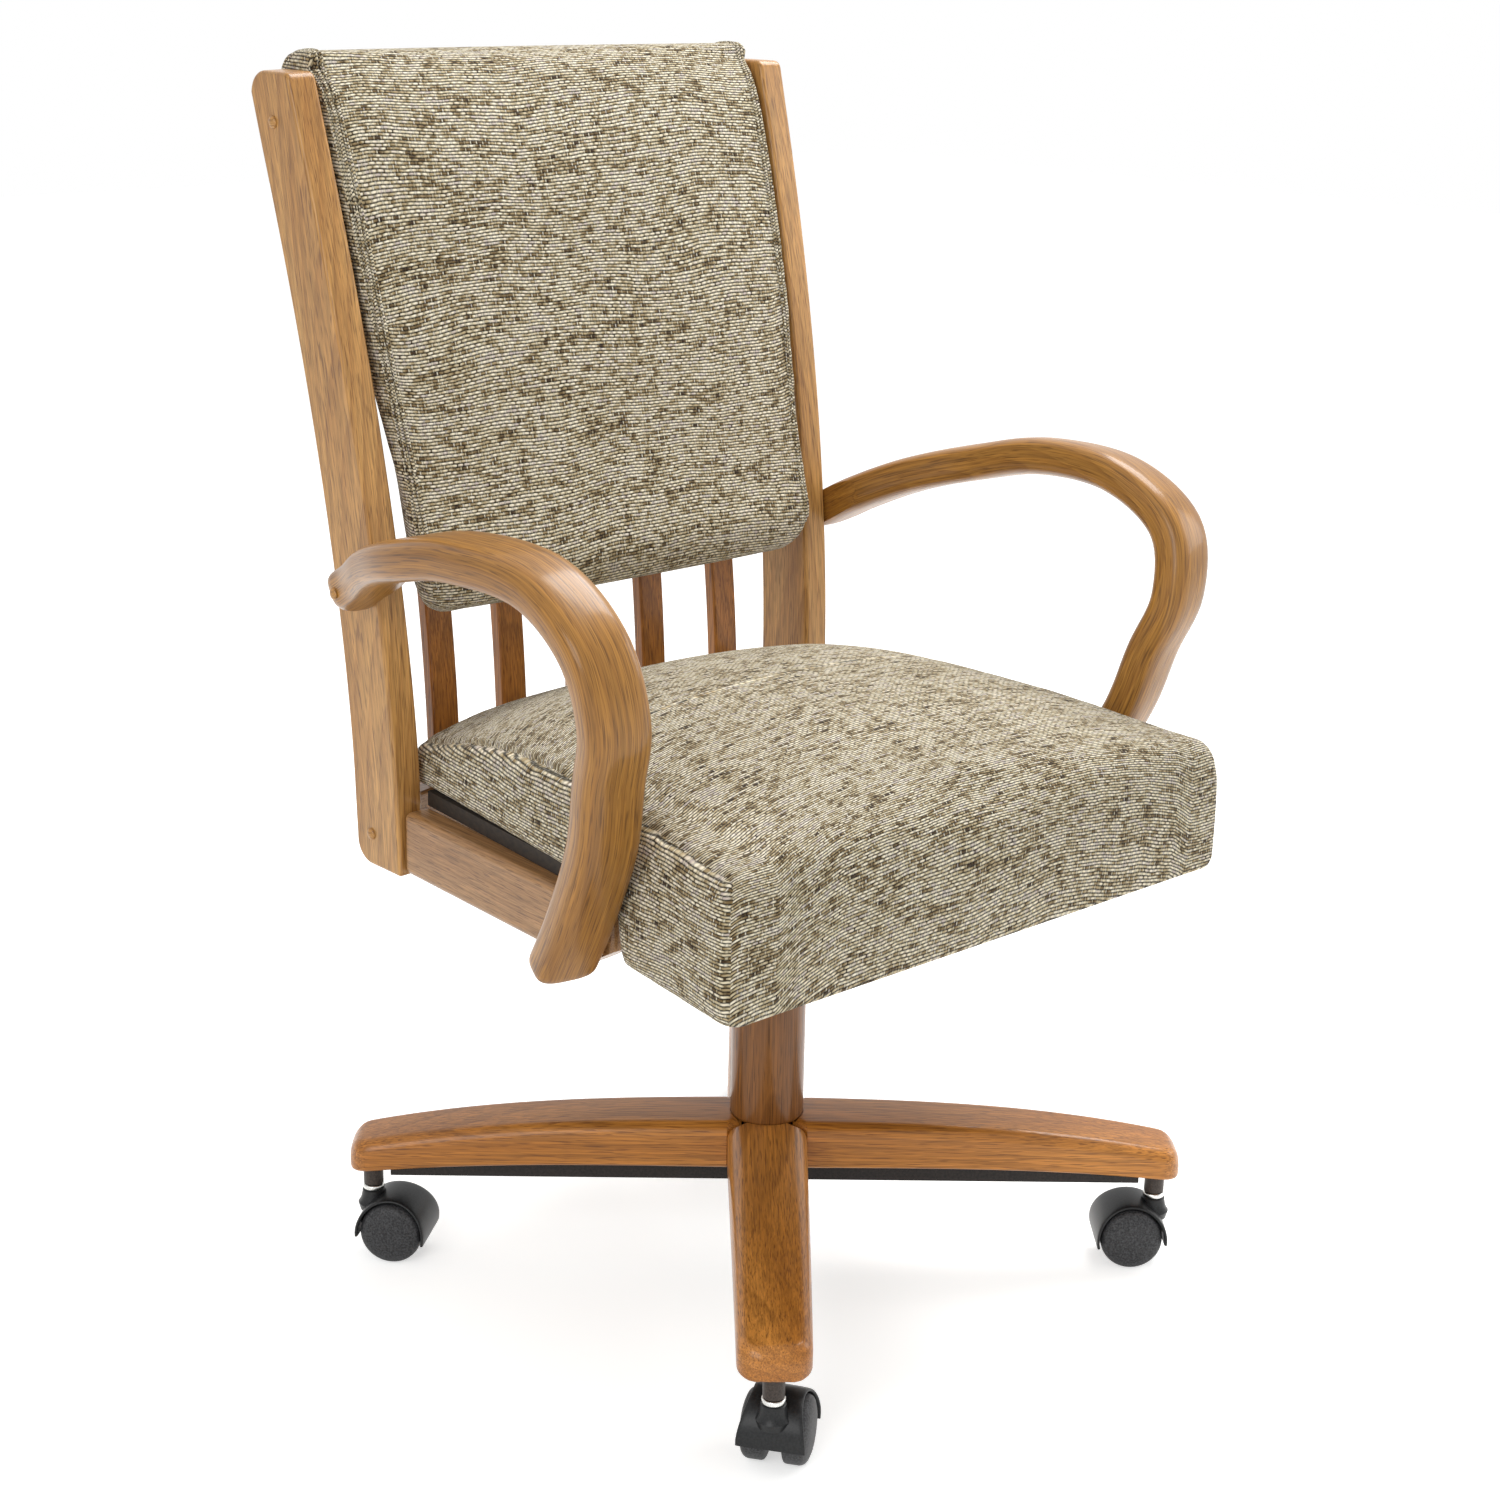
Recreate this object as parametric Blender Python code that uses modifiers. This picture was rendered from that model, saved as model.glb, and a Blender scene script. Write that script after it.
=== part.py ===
import math

import bmesh
import bpy
from mathutils import Matrix, Vector

for old in list(bpy.data.objects):
    bpy.data.objects.remove(old, do_unlink=True)

# All lengths in metres. +Z is up, the sitter faces -Y, the floor is z = 0. Places are
# measured from the column's axis, and the finished chair then stands with the middle of
# its plan on the origin, which puts the column this far from it.
COLUMN_Y = -0.0428
CLEARANCE = 0.0003

# Four wooden legs, standing almost on the seat's diagonals.
BASE_TURN = math.radians(3.9)
CASTER_CIRCLE = 0.3187
LEG_PAST_CASTER = 0.0168
LEG_REACH = CASTER_CIRCLE + LEG_PAST_CASTER
LEG_TOP = 0.1287
LEG_TOP_DROP = 0.0250
LEG_UNDER = 0.0913
LEG_UNDER_DROP = 0.0115
LEG_HALF_WIDTH_HUB = 0.0322
LEG_HALF_WIDTH_TIP = 0.0265
LEG_EDGE_ROUND = 0.0110
LEG_FOOT_ROUND = 0.0030
LEG_TIP_ROUND = 0.0180
LEG_NOSE_ROUND = 0.0150
LEG_HUB_START = 0.0207

# Steel cross under the legs with the column tube standing on it.
BAR_HALF_WIDTH = 0.0150
BAR_SHORT_OF_SOCKET = 0.0077
SOCKET_RADIUS = 0.0080
BAR_REACH = CASTER_CIRCLE - SOCKET_RADIUS - BAR_SHORT_OF_SOCKET
BAR_UNDER = 0.0735
TUBE_RADIUS = 0.0195
TUBE_WALL = 0.0032
TUBE_TOP = 0.3120

# Wooden sleeve round the tube, seated in a shallow counterbore in the legs.
SLEEVE_RADIUS = 0.0295
SLEEVE_EDGE_ROUND = 0.0040
SLEEVE_SEAT_DEPTH = 0.0025
SLEEVE_TOP = 0.2920

# Plastic bush in the top of the tube.
BUSH_FLANGE_RADIUS = 0.0225
BUSH_FLANGE = 0.0040
BUSH_LENGTH = 0.0400
SPINDLE_RADIUS = 0.0125
SPINDLE_END = 0.2000

# Twin wheel casters.
CASTER_TRAIL = 0.0190
SOCKET_FOOT = 0.0600
SOCKET_TOP = 0.0980
STEM_RADIUS = 0.0055
STEM_SHANK_RADIUS = 0.0040
STEM_END = 0.0350
RING_RADIUS = 0.0087
RING_HEIGHT = 0.0042
WHEEL_RADIUS = 0.0252
WHEEL_WIDTH = 0.0175
WHEEL_EDGE = 0.0020
WHEEL_SIDES = 20
WEB_HALF_WIDTH = 0.0065
HOOD_GAP = 0.0012
HOOD_WALL = 0.0023
HOOD_HALF_WIDTH = 0.0245
HOOD_BOSS_RADIUS = 0.0090
HOOD_BOSS_RISE = 0.0090
AXLE_RADIUS = 0.0030
CASTER_TURNS = [math.radians(v) for v in (8.0, -10.0, -14.0, 0.0)]

# Tilt mechanism.
PIVOT_Y = 0.0200
PIVOT_Z = 0.3520
PIVOT_RADIUS = 0.0050
PIVOT_HALF_LENGTH = 0.0450
PLATE = 0.0040
BRACKET_HALF_WIDTH = 0.0350
BRACKET_FRONT = -0.0760
BRACKET_REAR = 0.0550
CHEEK_HALF_DEPTH = 0.0190
CHEEK_ROUND = 0.0110
SEAT_PLATE_HALF_WIDTH = 0.0900
SEAT_PLATE_FRONT = -0.1000
SEAT_PLATE_REAR = 0.1400
EAR_HALF_DEPTH = 0.0170
EAR_BELOW_PIVOT = 0.0110
TILT = math.radians(12.0)
BOLT_Y = -0.0480
BOLT_RADIUS = 0.0050
BOLT_END = 0.2560
EYE_RADIUS = 0.0085
EYE_HALF_WIDTH = 0.0070
LUG = 0.0040
LUG_HALF_DEPTH = 0.0090
LUG_BELOW_PIN = 0.0090
PIN_RADIUS = 0.0040
SPRING_RADIUS = 0.0100
SPRING_WIRE = 0.0015
SPRING_CURLS = 4
CUP_TOP = 0.2830
CUP_RADIUS = 0.0135
CUP_HEIGHT = 0.0040
KNOB_RADIUS = 0.0160
KNOB_HEIGHT = 0.0265
KNOB_FLOOR = 0.0020

# Seat frame.
RAIL_OUTER_REAR = 0.2225
RAIL_OUTER_FRONT = 0.2350
RAIL_FRONT = -0.0900
RAIL_THICKNESS = 0.0250
RAIL_UNDER = 0.3310
RAIL_TOP = 0.3820
RAIL_ROUND = 0.0060
RAIL_NOTCH_LONG = 0.0380
RAIL_NOTCH_HIGH = 0.0220
BOARD = 0.0120
BOARD_FRONT = -0.2065
BOARD_INSET = 0.0120
BOARD_ROOM = 0.0008

# Seat cushion.
SEAT_FRONT = -0.2380
SEAT_REAR = 0.2140
SEAT_HALF_FRONT = 0.2575
SEAT_HALF_REAR = 0.1988
SEAT_SKIRT = 0.0220
SEAT_SKIRT_SLOPE = 0.0050
SEAT_SKIRT_FOOT = 0.3480
SEAT_SKIRT_REAR = -0.0960
SEAT_EDGE_FRONT = 0.4500
SEAT_EDGE_MIDDLE = 0.4610
SEAT_EDGE_REAR = 0.4300
SEAT_CROWN = 0.0330
SEAT_CORNER = 0.0160
SEAT_FOOT_ROUND = 0.0050

# Back posts.
POST_FRONT = 0.1825
POST_BEND_Z = 0.4000
POST_BEND = 0.2787
POST_BEND_POWER = 1.717
POST_DEPTH = 0.0585
POST_THICKNESS = 0.0245
POST_FOOT = 0.3280
POST_TOP = 0.9325
POST_OUTER_FOOT = 0.2261
POST_OUTER_TOP = 0.2452
POST_HEEL_ROUND = 0.0180
POST_HEAD_ROUND = 0.0190
POST_BROW_ROUND = 0.0080
POST_EDGE_ROUND = 0.0030

# Slats between a lower and an upper rail, both bowed to the rear.
SLAT_SPACING = 0.0745
SLAT_WIDTH = 0.0250
SLAT_THICKNESS = 0.0120
SLAT_SET_BACK = 0.0530
SLAT_EDGE_ROUND = 0.0020
LOW_BOW = 0.0120
HIGH_BOW = 0.0060
CROSS_RAIL_THICKNESS = 0.0260
CROSS_RAIL_PROUD = 0.0050
CROSS_RAIL_ROUND = 0.0030
TOP_RAIL_UNDER = 0.8620
TOP_RAIL_TOP = 0.9250

# Back pad, rolled over the upper rail.
PAD_FOOT = 0.5310
PAD_SIDE_GAP = 0.0010
PAD_FOOT_DRAW = 0.0060
PAD_FOOT_DRAW_HIGH = 0.1700
PAD_FOOT_CORNER = 0.0240
PAD_REAR_SOFT = 0.0140
PAD_REAR_DRAW = 0.0180
PAD_BACK_GAP = 0.0015
PAD_PROUD_FOOT = 0.0140
PAD_PROUD_HEAD = 0.0010
PAD_CROWN = 0.0080
PAD_TOP = 0.9465
PAD_WRAP = 0.0210
PAD_FLAP_FOOT = 0.8700

# Bent wooden arms: x, y, z of the middle of the section from the post to the rail.
ARM_WAY = (
    (0.2530, 0.2126, 0.5526),
    (0.2547, 0.1729, 0.5743),
    (0.2735, 0.1231, 0.5973),
    (0.2923, 0.0621, 0.6157),
    (0.2957, -0.0057, 0.6300),
    (0.2932, -0.0857, 0.6278),
    (0.2935, -0.1418, 0.5962),
    (0.2863, -0.1549, 0.5452),
    (0.2785, -0.1400, 0.4990),
    (0.2718, -0.1245, 0.4475),
    (0.2635, -0.0905, 0.3843),
    (0.2573, -0.0590, 0.3352),
)
ARM_WIDTH = 0.0485
ARM_HEIGHT = 0.0304
ARM_SQUARENESS = 3.4
ARM_LEAN = math.radians(-8.5)
ARM_NOSE = 0.0303
ARM_NOSE_ROUND = 0.0100
ARM_END_ROUND = 0.0130
ARM_STEPS = 24
ARM_SIDES = 14

# Button plugs over the fixing screws.
PLUG_RADIUS = 0.0048
PLUG_DOME = 0.0026
PLUG_SHANK_RADIUS = 0.0034
PLUG_SHANK = 0.0060
PLUG_HIGH = POST_TOP - 0.0365
PLUG_LOW = POST_FOOT + 0.0270
PLUG_HIGH_Y = 0.2990
PLUG_LOW_Y = 0.2190
PLUG_ARM_TURN = math.radians(9.0)
PLUG_ARM_OUT = 0.0433
PLUG_ARM_Y = 0.1850
PLUG_ARM_Z = 0.5655

chair = bpy.data.collections.new("swivel_tilt_armchair")
cutters = bpy.data.collections.new("cutters")
bpy.context.scene.collection.children.link(chair)
bpy.context.scene.collection.children.link(cutters)

OAK = (0.47, 0.25, 0.10)
PLY = (0.55, 0.40, 0.24)
BLACK_STEEL = (0.02, 0.02, 0.022)
ZINC = (0.62, 0.61, 0.58)
BLACK_PLASTIC = (0.025, 0.026, 0.028)
FABRIC = (0.52, 0.45, 0.34)
LOOKS = {
    "oak": (OAK, 0.0, 0.38),
    "ply": (PLY, 0.0, 0.7),
    "steel": (BLACK_STEEL, 0.0, 0.45),
    "zinc": (ZINC, 1.0, 0.3),
    "plastic": (BLACK_PLASTIC, 0.0, 0.5),
    "fabric": (FABRIC, 0.0, 0.95),
}


def give_material(ob, look):
    colour, metallic, roughness = LOOKS[look]
    mat = bpy.data.materials.new(ob.name + "_" + look)
    mat.use_nodes = True
    shader = mat.node_tree.nodes["Principled BSDF"]
    shader.inputs["Base Color"].default_value = (*colour, 1.0)
    shader.inputs["Metallic"].default_value = metallic
    shader.inputs["Roughness"].default_value = roughness
    mat.diffuse_color = (*colour, 1.0)
    ob.data.materials.clear()
    ob.data.materials.append(mat)


def add_object(name, mesh, look=None, smooth=True):
    ob = bpy.data.objects.new(name, mesh)
    if look is None:
        cutters.objects.link(ob)
        ob.hide_render = True
        ob.display_type = "WIRE"
        return ob
    chair.objects.link(ob)
    if smooth:
        mesh.shade_smooth()
        mesh.set_sharp_from_angle(angle=math.radians(35))
    give_material(ob, look)
    return ob


def mesh_from(bm, name):
    bmesh.ops.recalc_face_normals(bm, faces=bm.faces)
    mesh = bpy.data.meshes.new(name)
    bm.to_mesh(mesh)
    bm.free()
    return mesh


def box_mesh(name, low, high):
    bm = bmesh.new()
    low, high = Vector(low), Vector(high)
    size = high - low
    place = Matrix.Translation((low + high) / 2) @ Matrix.Diagonal((*size, 1.0))
    bmesh.ops.create_cube(bm, size=1.0, matrix=place)
    return mesh_from(bm, name)


def rod_mesh(name, radius, start, end, sides=24, radius_end=None):
    """Cylinder or cone between two points."""
    start, end = Vector(start), Vector(end)
    way = end - start
    turn = way.to_track_quat("Z", "Y").to_matrix().to_4x4()
    bm = bmesh.new()
    bmesh.ops.create_cone(
        bm,
        cap_ends=True,
        segments=sides,
        radius1=radius,
        radius2=radius if radius_end is None else radius_end,
        depth=way.length,
        matrix=Matrix.Translation((start + end) / 2) @ turn,
    )
    return mesh_from(bm, name)


def turned(name, profile, look, steps=24, closed=False):
    """Turns a profile of (radius, height), listed from the top down its outer side."""
    mesh = bpy.data.meshes.new(name)
    points = [(r, 0.0, z) for r, z in profile]
    edges = [(i, i + 1) for i in range(len(points) - 1)]
    if closed:
        edges.append((len(points) - 1, 0))
    mesh.from_pydata(points, edges, [])
    ob = add_object(name, mesh, look, smooth=False)
    screw = ob.modifiers.new("turn", "SCREW")
    screw.axis = "Z"
    screw.steps = steps
    screw.render_steps = steps
    screw.use_merge_vertices = True
    screw.merge_threshold = 0.00001
    screw.use_smooth_shade = True
    return ob


def outline_mesh(name, points, half):
    """Flat outline in local XY, extruded half to each side along Z, as a closed mesh."""
    curve = bpy.data.curves.new(name, "CURVE")
    curve.dimensions = "2D"
    curve.fill_mode = "BOTH"
    curve.extrude = half
    spline = curve.splines.new("POLY")
    spline.points.add(len(points) - 1)
    for point, (x, y) in zip(spline.points, points):
        point.co = (x, y, 0.0, 1.0)
    spline.use_cyclic_u = True
    guide = bpy.data.objects.new(name + "_outline", curve)
    cutters.objects.link(guide)
    evaluated = guide.evaluated_get(bpy.context.evaluated_depsgraph_get())
    mesh = bpy.data.meshes.new_from_object(evaluated)
    bpy.data.objects.remove(guide, do_unlink=True)
    bm = bmesh.new()
    bm.from_mesh(mesh)
    bmesh.ops.remove_doubles(bm, verts=bm.verts, dist=0.00001)
    bmesh.ops.dissolve_limit(
        bm, angle_limit=0.001, verts=bm.verts, edges=bm.edges, delimit={"NORMAL"}
    )
    bmesh.ops.recalc_face_normals(bm, faces=bm.faces)
    bm.to_mesh(mesh)
    bm.free()
    mesh.name = name
    return mesh


# Lays an outline's local XY into world YZ, so that it is extruded along X.
TO_YZ = Matrix(((0, 0, 1, 0), (1, 0, 0, 0), (0, 1, 0, 0), (0, 0, 0, 1)))


def moved(mesh, matrix):
    mesh.transform(matrix)
    return mesh


def loft_mesh(name, rings):
    """Skin over rings of equal count, closed by a face at each end."""
    bm = bmesh.new()
    rows = [[bm.verts.new(p) for p in ring] for ring in rings]
    count = len(rows[0])
    for a, b in zip(rows, rows[1:]):
        for i in range(count):
            j = (i + 1) % count
            bm.faces.new((a[i], a[j], b[j], b[i]))
    bm.faces.new(list(reversed(rows[0])))
    bm.faces.new(rows[-1])
    return mesh_from(bm, name)


def boolean(ob, other, operation="DIFFERENCE"):
    mod = ob.modifiers.new(operation.lower(), "BOOLEAN")
    mod.operation = operation
    mod.solver = "EXACT"
    mod.object = other
    return mod


def bevel(ob, width, segments=2, angle=40.0):
    mod = ob.modifiers.new("edge", "BEVEL")
    mod.width = width
    mod.segments = segments
    mod.limit_method = "ANGLE"
    mod.angle_limit = math.radians(angle)
    return mod


def set_origin(ob, point):
    """Moves an unrotated object's origin onto its joint without moving its shape."""
    point = Vector(point)
    ob.data.transform(Matrix.Translation(ob.location - point))
    ob.location = point
    return ob


def corner(cx, cy, radius, start, end, steps):
    """Points of an arc round a corner, angles in degrees."""
    points = []
    for i in range(steps + 1):
        a = math.radians(start + (end - start) * i / steps)
        points.append((cx + radius * math.cos(a), cy + radius * math.sin(a)))
    return points


def leg_top(s):
    return LEG_TOP - LEG_TOP_DROP * (s / LEG_REACH) ** 2.9


def leg_under(s):
    return LEG_UNDER - LEG_UNDER_DROP * (s / LEG_REACH) ** 3.5


def round_off(distance, radius):
    """How far a rounded corner of this radius falls back, this far from its end."""
    if distance >= radius:
        return 0.0
    return radius - math.sqrt(max(0.0, radius ** 2 - (radius - distance) ** 2))


def leg_ring(s):
    tip = LEG_REACH - s
    share = s / LEG_REACH
    half = LEG_HALF_WIDTH_HUB + (LEG_HALF_WIDTH_TIP - LEG_HALF_WIDTH_HUB) * share
    half = min(half, s - CLEARANCE * 1.5) - round_off(tip, LEG_TIP_ROUND)
    top = leg_top(s) - round_off(tip, LEG_NOSE_ROUND)
    under = leg_under(s) + round_off(tip, LEG_FOOT_ROUND)
    edge = min(LEG_EDGE_ROUND, half * 0.6)
    foot = min(LEG_FOOT_ROUND, half * 0.2)
    right = corner(half - foot, under + foot, foot, -90, 0, 1)
    right += corner(half - edge, top - edge, edge, 0, 90, 3)
    left = [(-t, z) for t, z in reversed(right)]
    return [(s, t, z) for t, z in right + left]


def leg_mesh():
    places = [LEG_HUB_START, 0.027, LEG_HALF_WIDTH_HUB]
    places += [LEG_REACH * share for share in (0.21, 0.36, 0.51, 0.66, 0.79, 0.88)]
    places += [LEG_REACH - d for d in (0.024, 0.017, 0.011, 0.006, 0.0025, 0.0003)]
    return loft_mesh("leg", [leg_ring(s) for s in places])


def leg_angle(k):
    return BASE_TURN + math.radians(45.0 + 90.0 * k)


seat_cut = add_object(
    "sleeve_seat_cut",
    rod_mesh(
        "sleeve_seat_cut",
        SLEEVE_RADIUS + CLEARANCE,
        (0, 0, LEG_TOP - SLEEVE_SEAT_DEPTH - CLEARANCE),
        (0, 0, LEG_TOP + 0.02),
        sides=48,
    ),
)
shared_leg = leg_mesh()
legs = []
for k in range(4):
    mesh = shared_leg.copy()
    leg = add_object(f"leg_{k + 1}", mesh, "oak")
    leg.rotation_euler.z = leg_angle(k)
    boolean(leg, seat_cut)
    hole = add_object(
        f"socket_hole_{k + 1}",
        rod_mesh(
            f"socket_hole_{k + 1}",
            SOCKET_RADIUS + CLEARANCE,
            (CASTER_CIRCLE, 0, LEG_UNDER - 0.05),
            (CASTER_CIRCLE, 0, SOCKET_TOP + CLEARANCE),
        ),
    )
    hole.rotation_euler.z = leg_angle(k)
    boolean(leg, hole)
    legs.append(leg)


def bar_outline(inset):
    """Side view of one bar of the cross: straight below, following the legs above."""
    points = [(-BAR_REACH, BAR_UNDER + inset), (BAR_REACH, BAR_UNDER + inset)]
    places = [BAR_REACH * share for share in (1.0, 0.86, 0.7, 0.5, 0.27, 0.0)]
    right = [(s, leg_under(s) - CLEARANCE - inset) for s in places]
    return points + right + [(-s, z) for s, z in reversed(right[:-1])]


def bar_mesh(name, inset=0.0):
    return moved(
        outline_mesh(name, bar_outline(inset), BAR_HALF_WIDTH), Matrix.Rotation(math.pi / 2, 4, "X")
    )


base_frame = add_object("base_frame", bar_mesh("base_frame"), "steel")
base_frame.rotation_euler.z = leg_angle(0)
second_bar = add_object("second_bar", bar_mesh("second_bar", 0.0002))
second_bar.rotation_euler.z = leg_angle(1)
boolean(base_frame, second_bar, "UNION")
tube = add_object(
    "column_tube",
    rod_mesh("column_tube", TUBE_RADIUS, (0, 0, BAR_UNDER + 0.001), (0, 0, TUBE_TOP), sides=32),
)
boolean(base_frame, tube, "UNION")
tube_bore = add_object(
    "column_tube_bore",
    rod_mesh(
        "column_tube_bore",
        TUBE_RADIUS - TUBE_WALL,
        (0, 0, LEG_UNDER + 0.004),
        (0, 0, TUBE_TOP + 0.01),
        sides=32,
    ),
)
boolean(base_frame, tube_bore)

sleeve_foot = LEG_TOP - SLEEVE_SEAT_DEPTH
sleeve_bore = TUBE_RADIUS + CLEARANCE
column_sleeve = turned(
    "column_sleeve",
    [(sleeve_bore, SLEEVE_TOP), (SLEEVE_RADIUS - 0.002, SLEEVE_TOP), (SLEEVE_RADIUS, SLEEVE_TOP - 0.002)]
    + [
        (r, z)
        for r, z in corner(
            SLEEVE_RADIUS - SLEEVE_EDGE_ROUND,
            sleeve_foot + SLEEVE_EDGE_ROUND,
            SLEEVE_EDGE_ROUND,
            0,
            -90,
            4,
        )
    ]
    + [(sleeve_bore, sleeve_foot)],
    "oak",
    steps=32,
    closed=True,
)

bush_outer = TUBE_RADIUS - TUBE_WALL - CLEARANCE
bush_bore = SPINDLE_RADIUS + CLEARANCE
bush_foot = TUBE_TOP + CLEARANCE
bush_top = bush_foot + BUSH_FLANGE
column_bushing = turned(
    "column_bushing",
    [
        (bush_bore, bush_top),
        (BUSH_FLANGE_RADIUS, bush_top),
        (BUSH_FLANGE_RADIUS, bush_foot),
        (bush_outer, bush_foot),
        (bush_outer, bush_foot - BUSH_LENGTH),
        (bush_bore, bush_foot - BUSH_LENGTH),
    ],
    "plastic",
    steps=20,
    closed=True,
)

# Casters. Local frame: stem axis at the origin, +Y the way the wheels trail, X the axle.
axle_z = WHEEL_RADIUS * math.cos(math.pi / WHEEL_SIDES)
hood_inner = WHEEL_RADIUS + HOOD_GAP
hood_outer = hood_inner + HOOD_WALL
ring_top = SOCKET_FOOT - CLEARANCE
ring_foot = ring_top - RING_HEIGHT
boss_top = ring_foot - CLEARANCE


def caster_matrix(k):
    angle = leg_angle(k)
    spot = Vector((math.cos(angle), math.sin(angle), 0.0)) * CASTER_CIRCLE
    # Trailing inwards turns local +Y to point at the column.
    turn = Matrix.Rotation(angle + math.pi / 2 + CASTER_TURNS[k], 4, "Z")
    return Matrix.Translation(spot) @ turn


def hood_outline():
    outer = corner(CASTER_TRAIL, axle_z, hood_outer, 184, -14, 16)
    inner = corner(CASTER_TRAIL, axle_z, hood_inner, -14, 184, 16)
    return outer + inner


def web_outline():
    reach = hood_inner + HOOD_WALL * 0.5
    arc = corner(CASTER_TRAIL, axle_z, reach, 178, 2, 11)
    lower = axle_z - 0.012
    return arc + [(CASTER_TRAIL + 0.012, lower), (CASTER_TRAIL - 0.012, lower)]


for k in range(4):
    place = caster_matrix(k)
    tag = f"caster_{k + 1}"

    socket = turned(
        f"{tag}_socket",
        [
            (0.0, SOCKET_TOP),
            (SOCKET_RADIUS, SOCKET_TOP),
            (SOCKET_RADIUS, SOCKET_FOOT),
            (STEM_RADIUS + CLEARANCE, SOCKET_FOOT),
            (STEM_RADIUS + CLEARANCE, SOCKET_TOP - 0.002),
            (0.0, SOCKET_TOP - 0.002),
        ],
        "steel",
        steps=16,
    )
    socket.matrix_world = place

    stem_top = SOCKET_TOP - 0.002 - CLEARANCE
    stem = turned(
        f"{tag}_stem",
        [
            (0.0, stem_top),
            (STEM_RADIUS - 0.001, stem_top),
            (STEM_RADIUS, stem_top - 0.001),
            (STEM_RADIUS, ring_top),
            (RING_RADIUS - 0.0008, ring_top),
            (RING_RADIUS, ring_top - 0.0008),
            (RING_RADIUS, ring_foot + 0.0008),
            (RING_RADIUS - 0.0008, ring_foot),
            (STEM_SHANK_RADIUS, ring_foot),
            (STEM_SHANK_RADIUS, STEM_END),
            (0.0, STEM_END),
        ],
        "zinc",
        steps=16,
    )
    stem.matrix_world = place

    hood_shape = outline_mesh(f"{tag}_hood", hood_outline(), HOOD_HALF_WIDTH)
    hood = add_object(f"{tag}_hood", moved(hood_shape, TO_YZ), "plastic")
    hood.matrix_world = place
    web = add_object(
        f"{tag}_web", moved(outline_mesh(f"{tag}_web", web_outline(), WEB_HALF_WIDTH), TO_YZ)
    )
    web.matrix_world = place
    boss = add_object(
        f"{tag}_boss",
        rod_mesh(f"{tag}_boss", HOOD_BOSS_RADIUS, (0, 0, axle_z + HOOD_BOSS_RISE), (0, 0, boss_top), 16),
    )
    boss.matrix_world = place
    stem_bore = add_object(
        f"{tag}_stem_bore",
        rod_mesh(
            f"{tag}_stem_bore",
            STEM_SHANK_RADIUS + CLEARANCE,
            (0, 0, STEM_END - CLEARANCE),
            (0, 0, boss_top + 0.01),
            sides=16,
        ),
    )
    stem_bore.matrix_world = place
    axle_bore = add_object(
        f"{tag}_axle_bore",
        rod_mesh(
            f"{tag}_axle_bore",
            AXLE_RADIUS + CLEARANCE,
            (-0.03, CASTER_TRAIL, axle_z),
            (0.03, CASTER_TRAIL, axle_z),
            sides=12,
        ),
    )
    axle_bore.matrix_world = place
    boolean(hood, web, "UNION")
    boolean(hood, boss, "UNION")
    for mark, sign in (("a", 1.0), ("b", -1.0)):
        room = add_object(
            f"{tag}_room_{mark}",
            rod_mesh(
                f"{tag}_room_{mark}",
                WHEEL_RADIUS + CLEARANCE * 2,
                (sign * (WEB_HALF_WIDTH + CLEARANCE / 2), CASTER_TRAIL, axle_z),
                (sign * (HOOD_HALF_WIDTH + 0.01), CASTER_TRAIL, axle_z),
                sides=24,
            ),
        )
        room.matrix_world = place
        boolean(hood, room)
    boolean(hood, stem_bore)
    boolean(hood, axle_bore)

    centre = place @ Vector((0, CASTER_TRAIL, axle_z))
    side = (place.to_3x3() @ Vector((1, 0, 0))).to_track_quat("Z", "Y").to_matrix().to_4x4()
    half_axle = WEB_HALF_WIDTH + CLEARANCE * 2 + WHEEL_WIDTH - 0.003
    axle = turned(
        f"{tag}_axle",
        [
            (0.0, half_axle),
            (AXLE_RADIUS - 0.0005, half_axle),
            (AXLE_RADIUS, half_axle - 0.0005),
            (AXLE_RADIUS, -half_axle + 0.0005),
            (AXLE_RADIUS - 0.0005, -half_axle),
            (0.0, -half_axle),
        ],
        "zinc",
        steps=12,
    )
    axle.matrix_world = Matrix.Translation(centre) @ side

    for mark, sign in (("a", 1.0), ("b", -1.0)):
        inner = WEB_HALF_WIDTH + CLEARANCE * 2
        outer = inner + WHEEL_WIDTH
        wheel = turned(
            f"{tag}_wheel_{mark}",
            [
                (AXLE_RADIUS + CLEARANCE, outer),
                (WHEEL_RADIUS - 0.006, outer),
                (WHEEL_RADIUS - WHEEL_EDGE, outer - 0.001),
                (WHEEL_RADIUS, outer - 0.001 - WHEEL_EDGE),
                (WHEEL_RADIUS, inner + WHEEL_EDGE),
                (WHEEL_RADIUS - WHEEL_EDGE, inner),
                (AXLE_RADIUS + CLEARANCE, inner),
            ],
            "plastic",
            steps=WHEEL_SIDES,
            closed=True,
        )
        # The wheel turns about its own local Z; the first facet lies on the floor.
        flip = Matrix.Rotation(math.pi, 4, "X") if sign < 0 else Matrix.Identity(4)
        frame = Matrix.Translation(centre) @ side @ flip
        down = frame.inverted().to_3x3() @ Vector((0, 0, -1))
        facet = Matrix.Rotation(math.atan2(down.y, down.x) + math.pi / WHEEL_SIDES, 4, "Z")
        wheel.matrix_world = frame @ facet

# Swivelling bracket: spindle, channel and the two cheeks that carry the tilt axle.
bracket_foot = bush_top + CLEARANCE
bracket_top = bracket_foot + PLATE
tilt_bracket = add_object(
    "tilt_bracket",
    box_mesh(
        "tilt_bracket",
        (-BRACKET_HALF_WIDTH, BRACKET_FRONT, bracket_foot),
        (BRACKET_HALF_WIDTH, BRACKET_REAR, bracket_top),
    ),
    "steel",
)
set_origin(tilt_bracket, (0, 0, bracket_foot))


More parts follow.
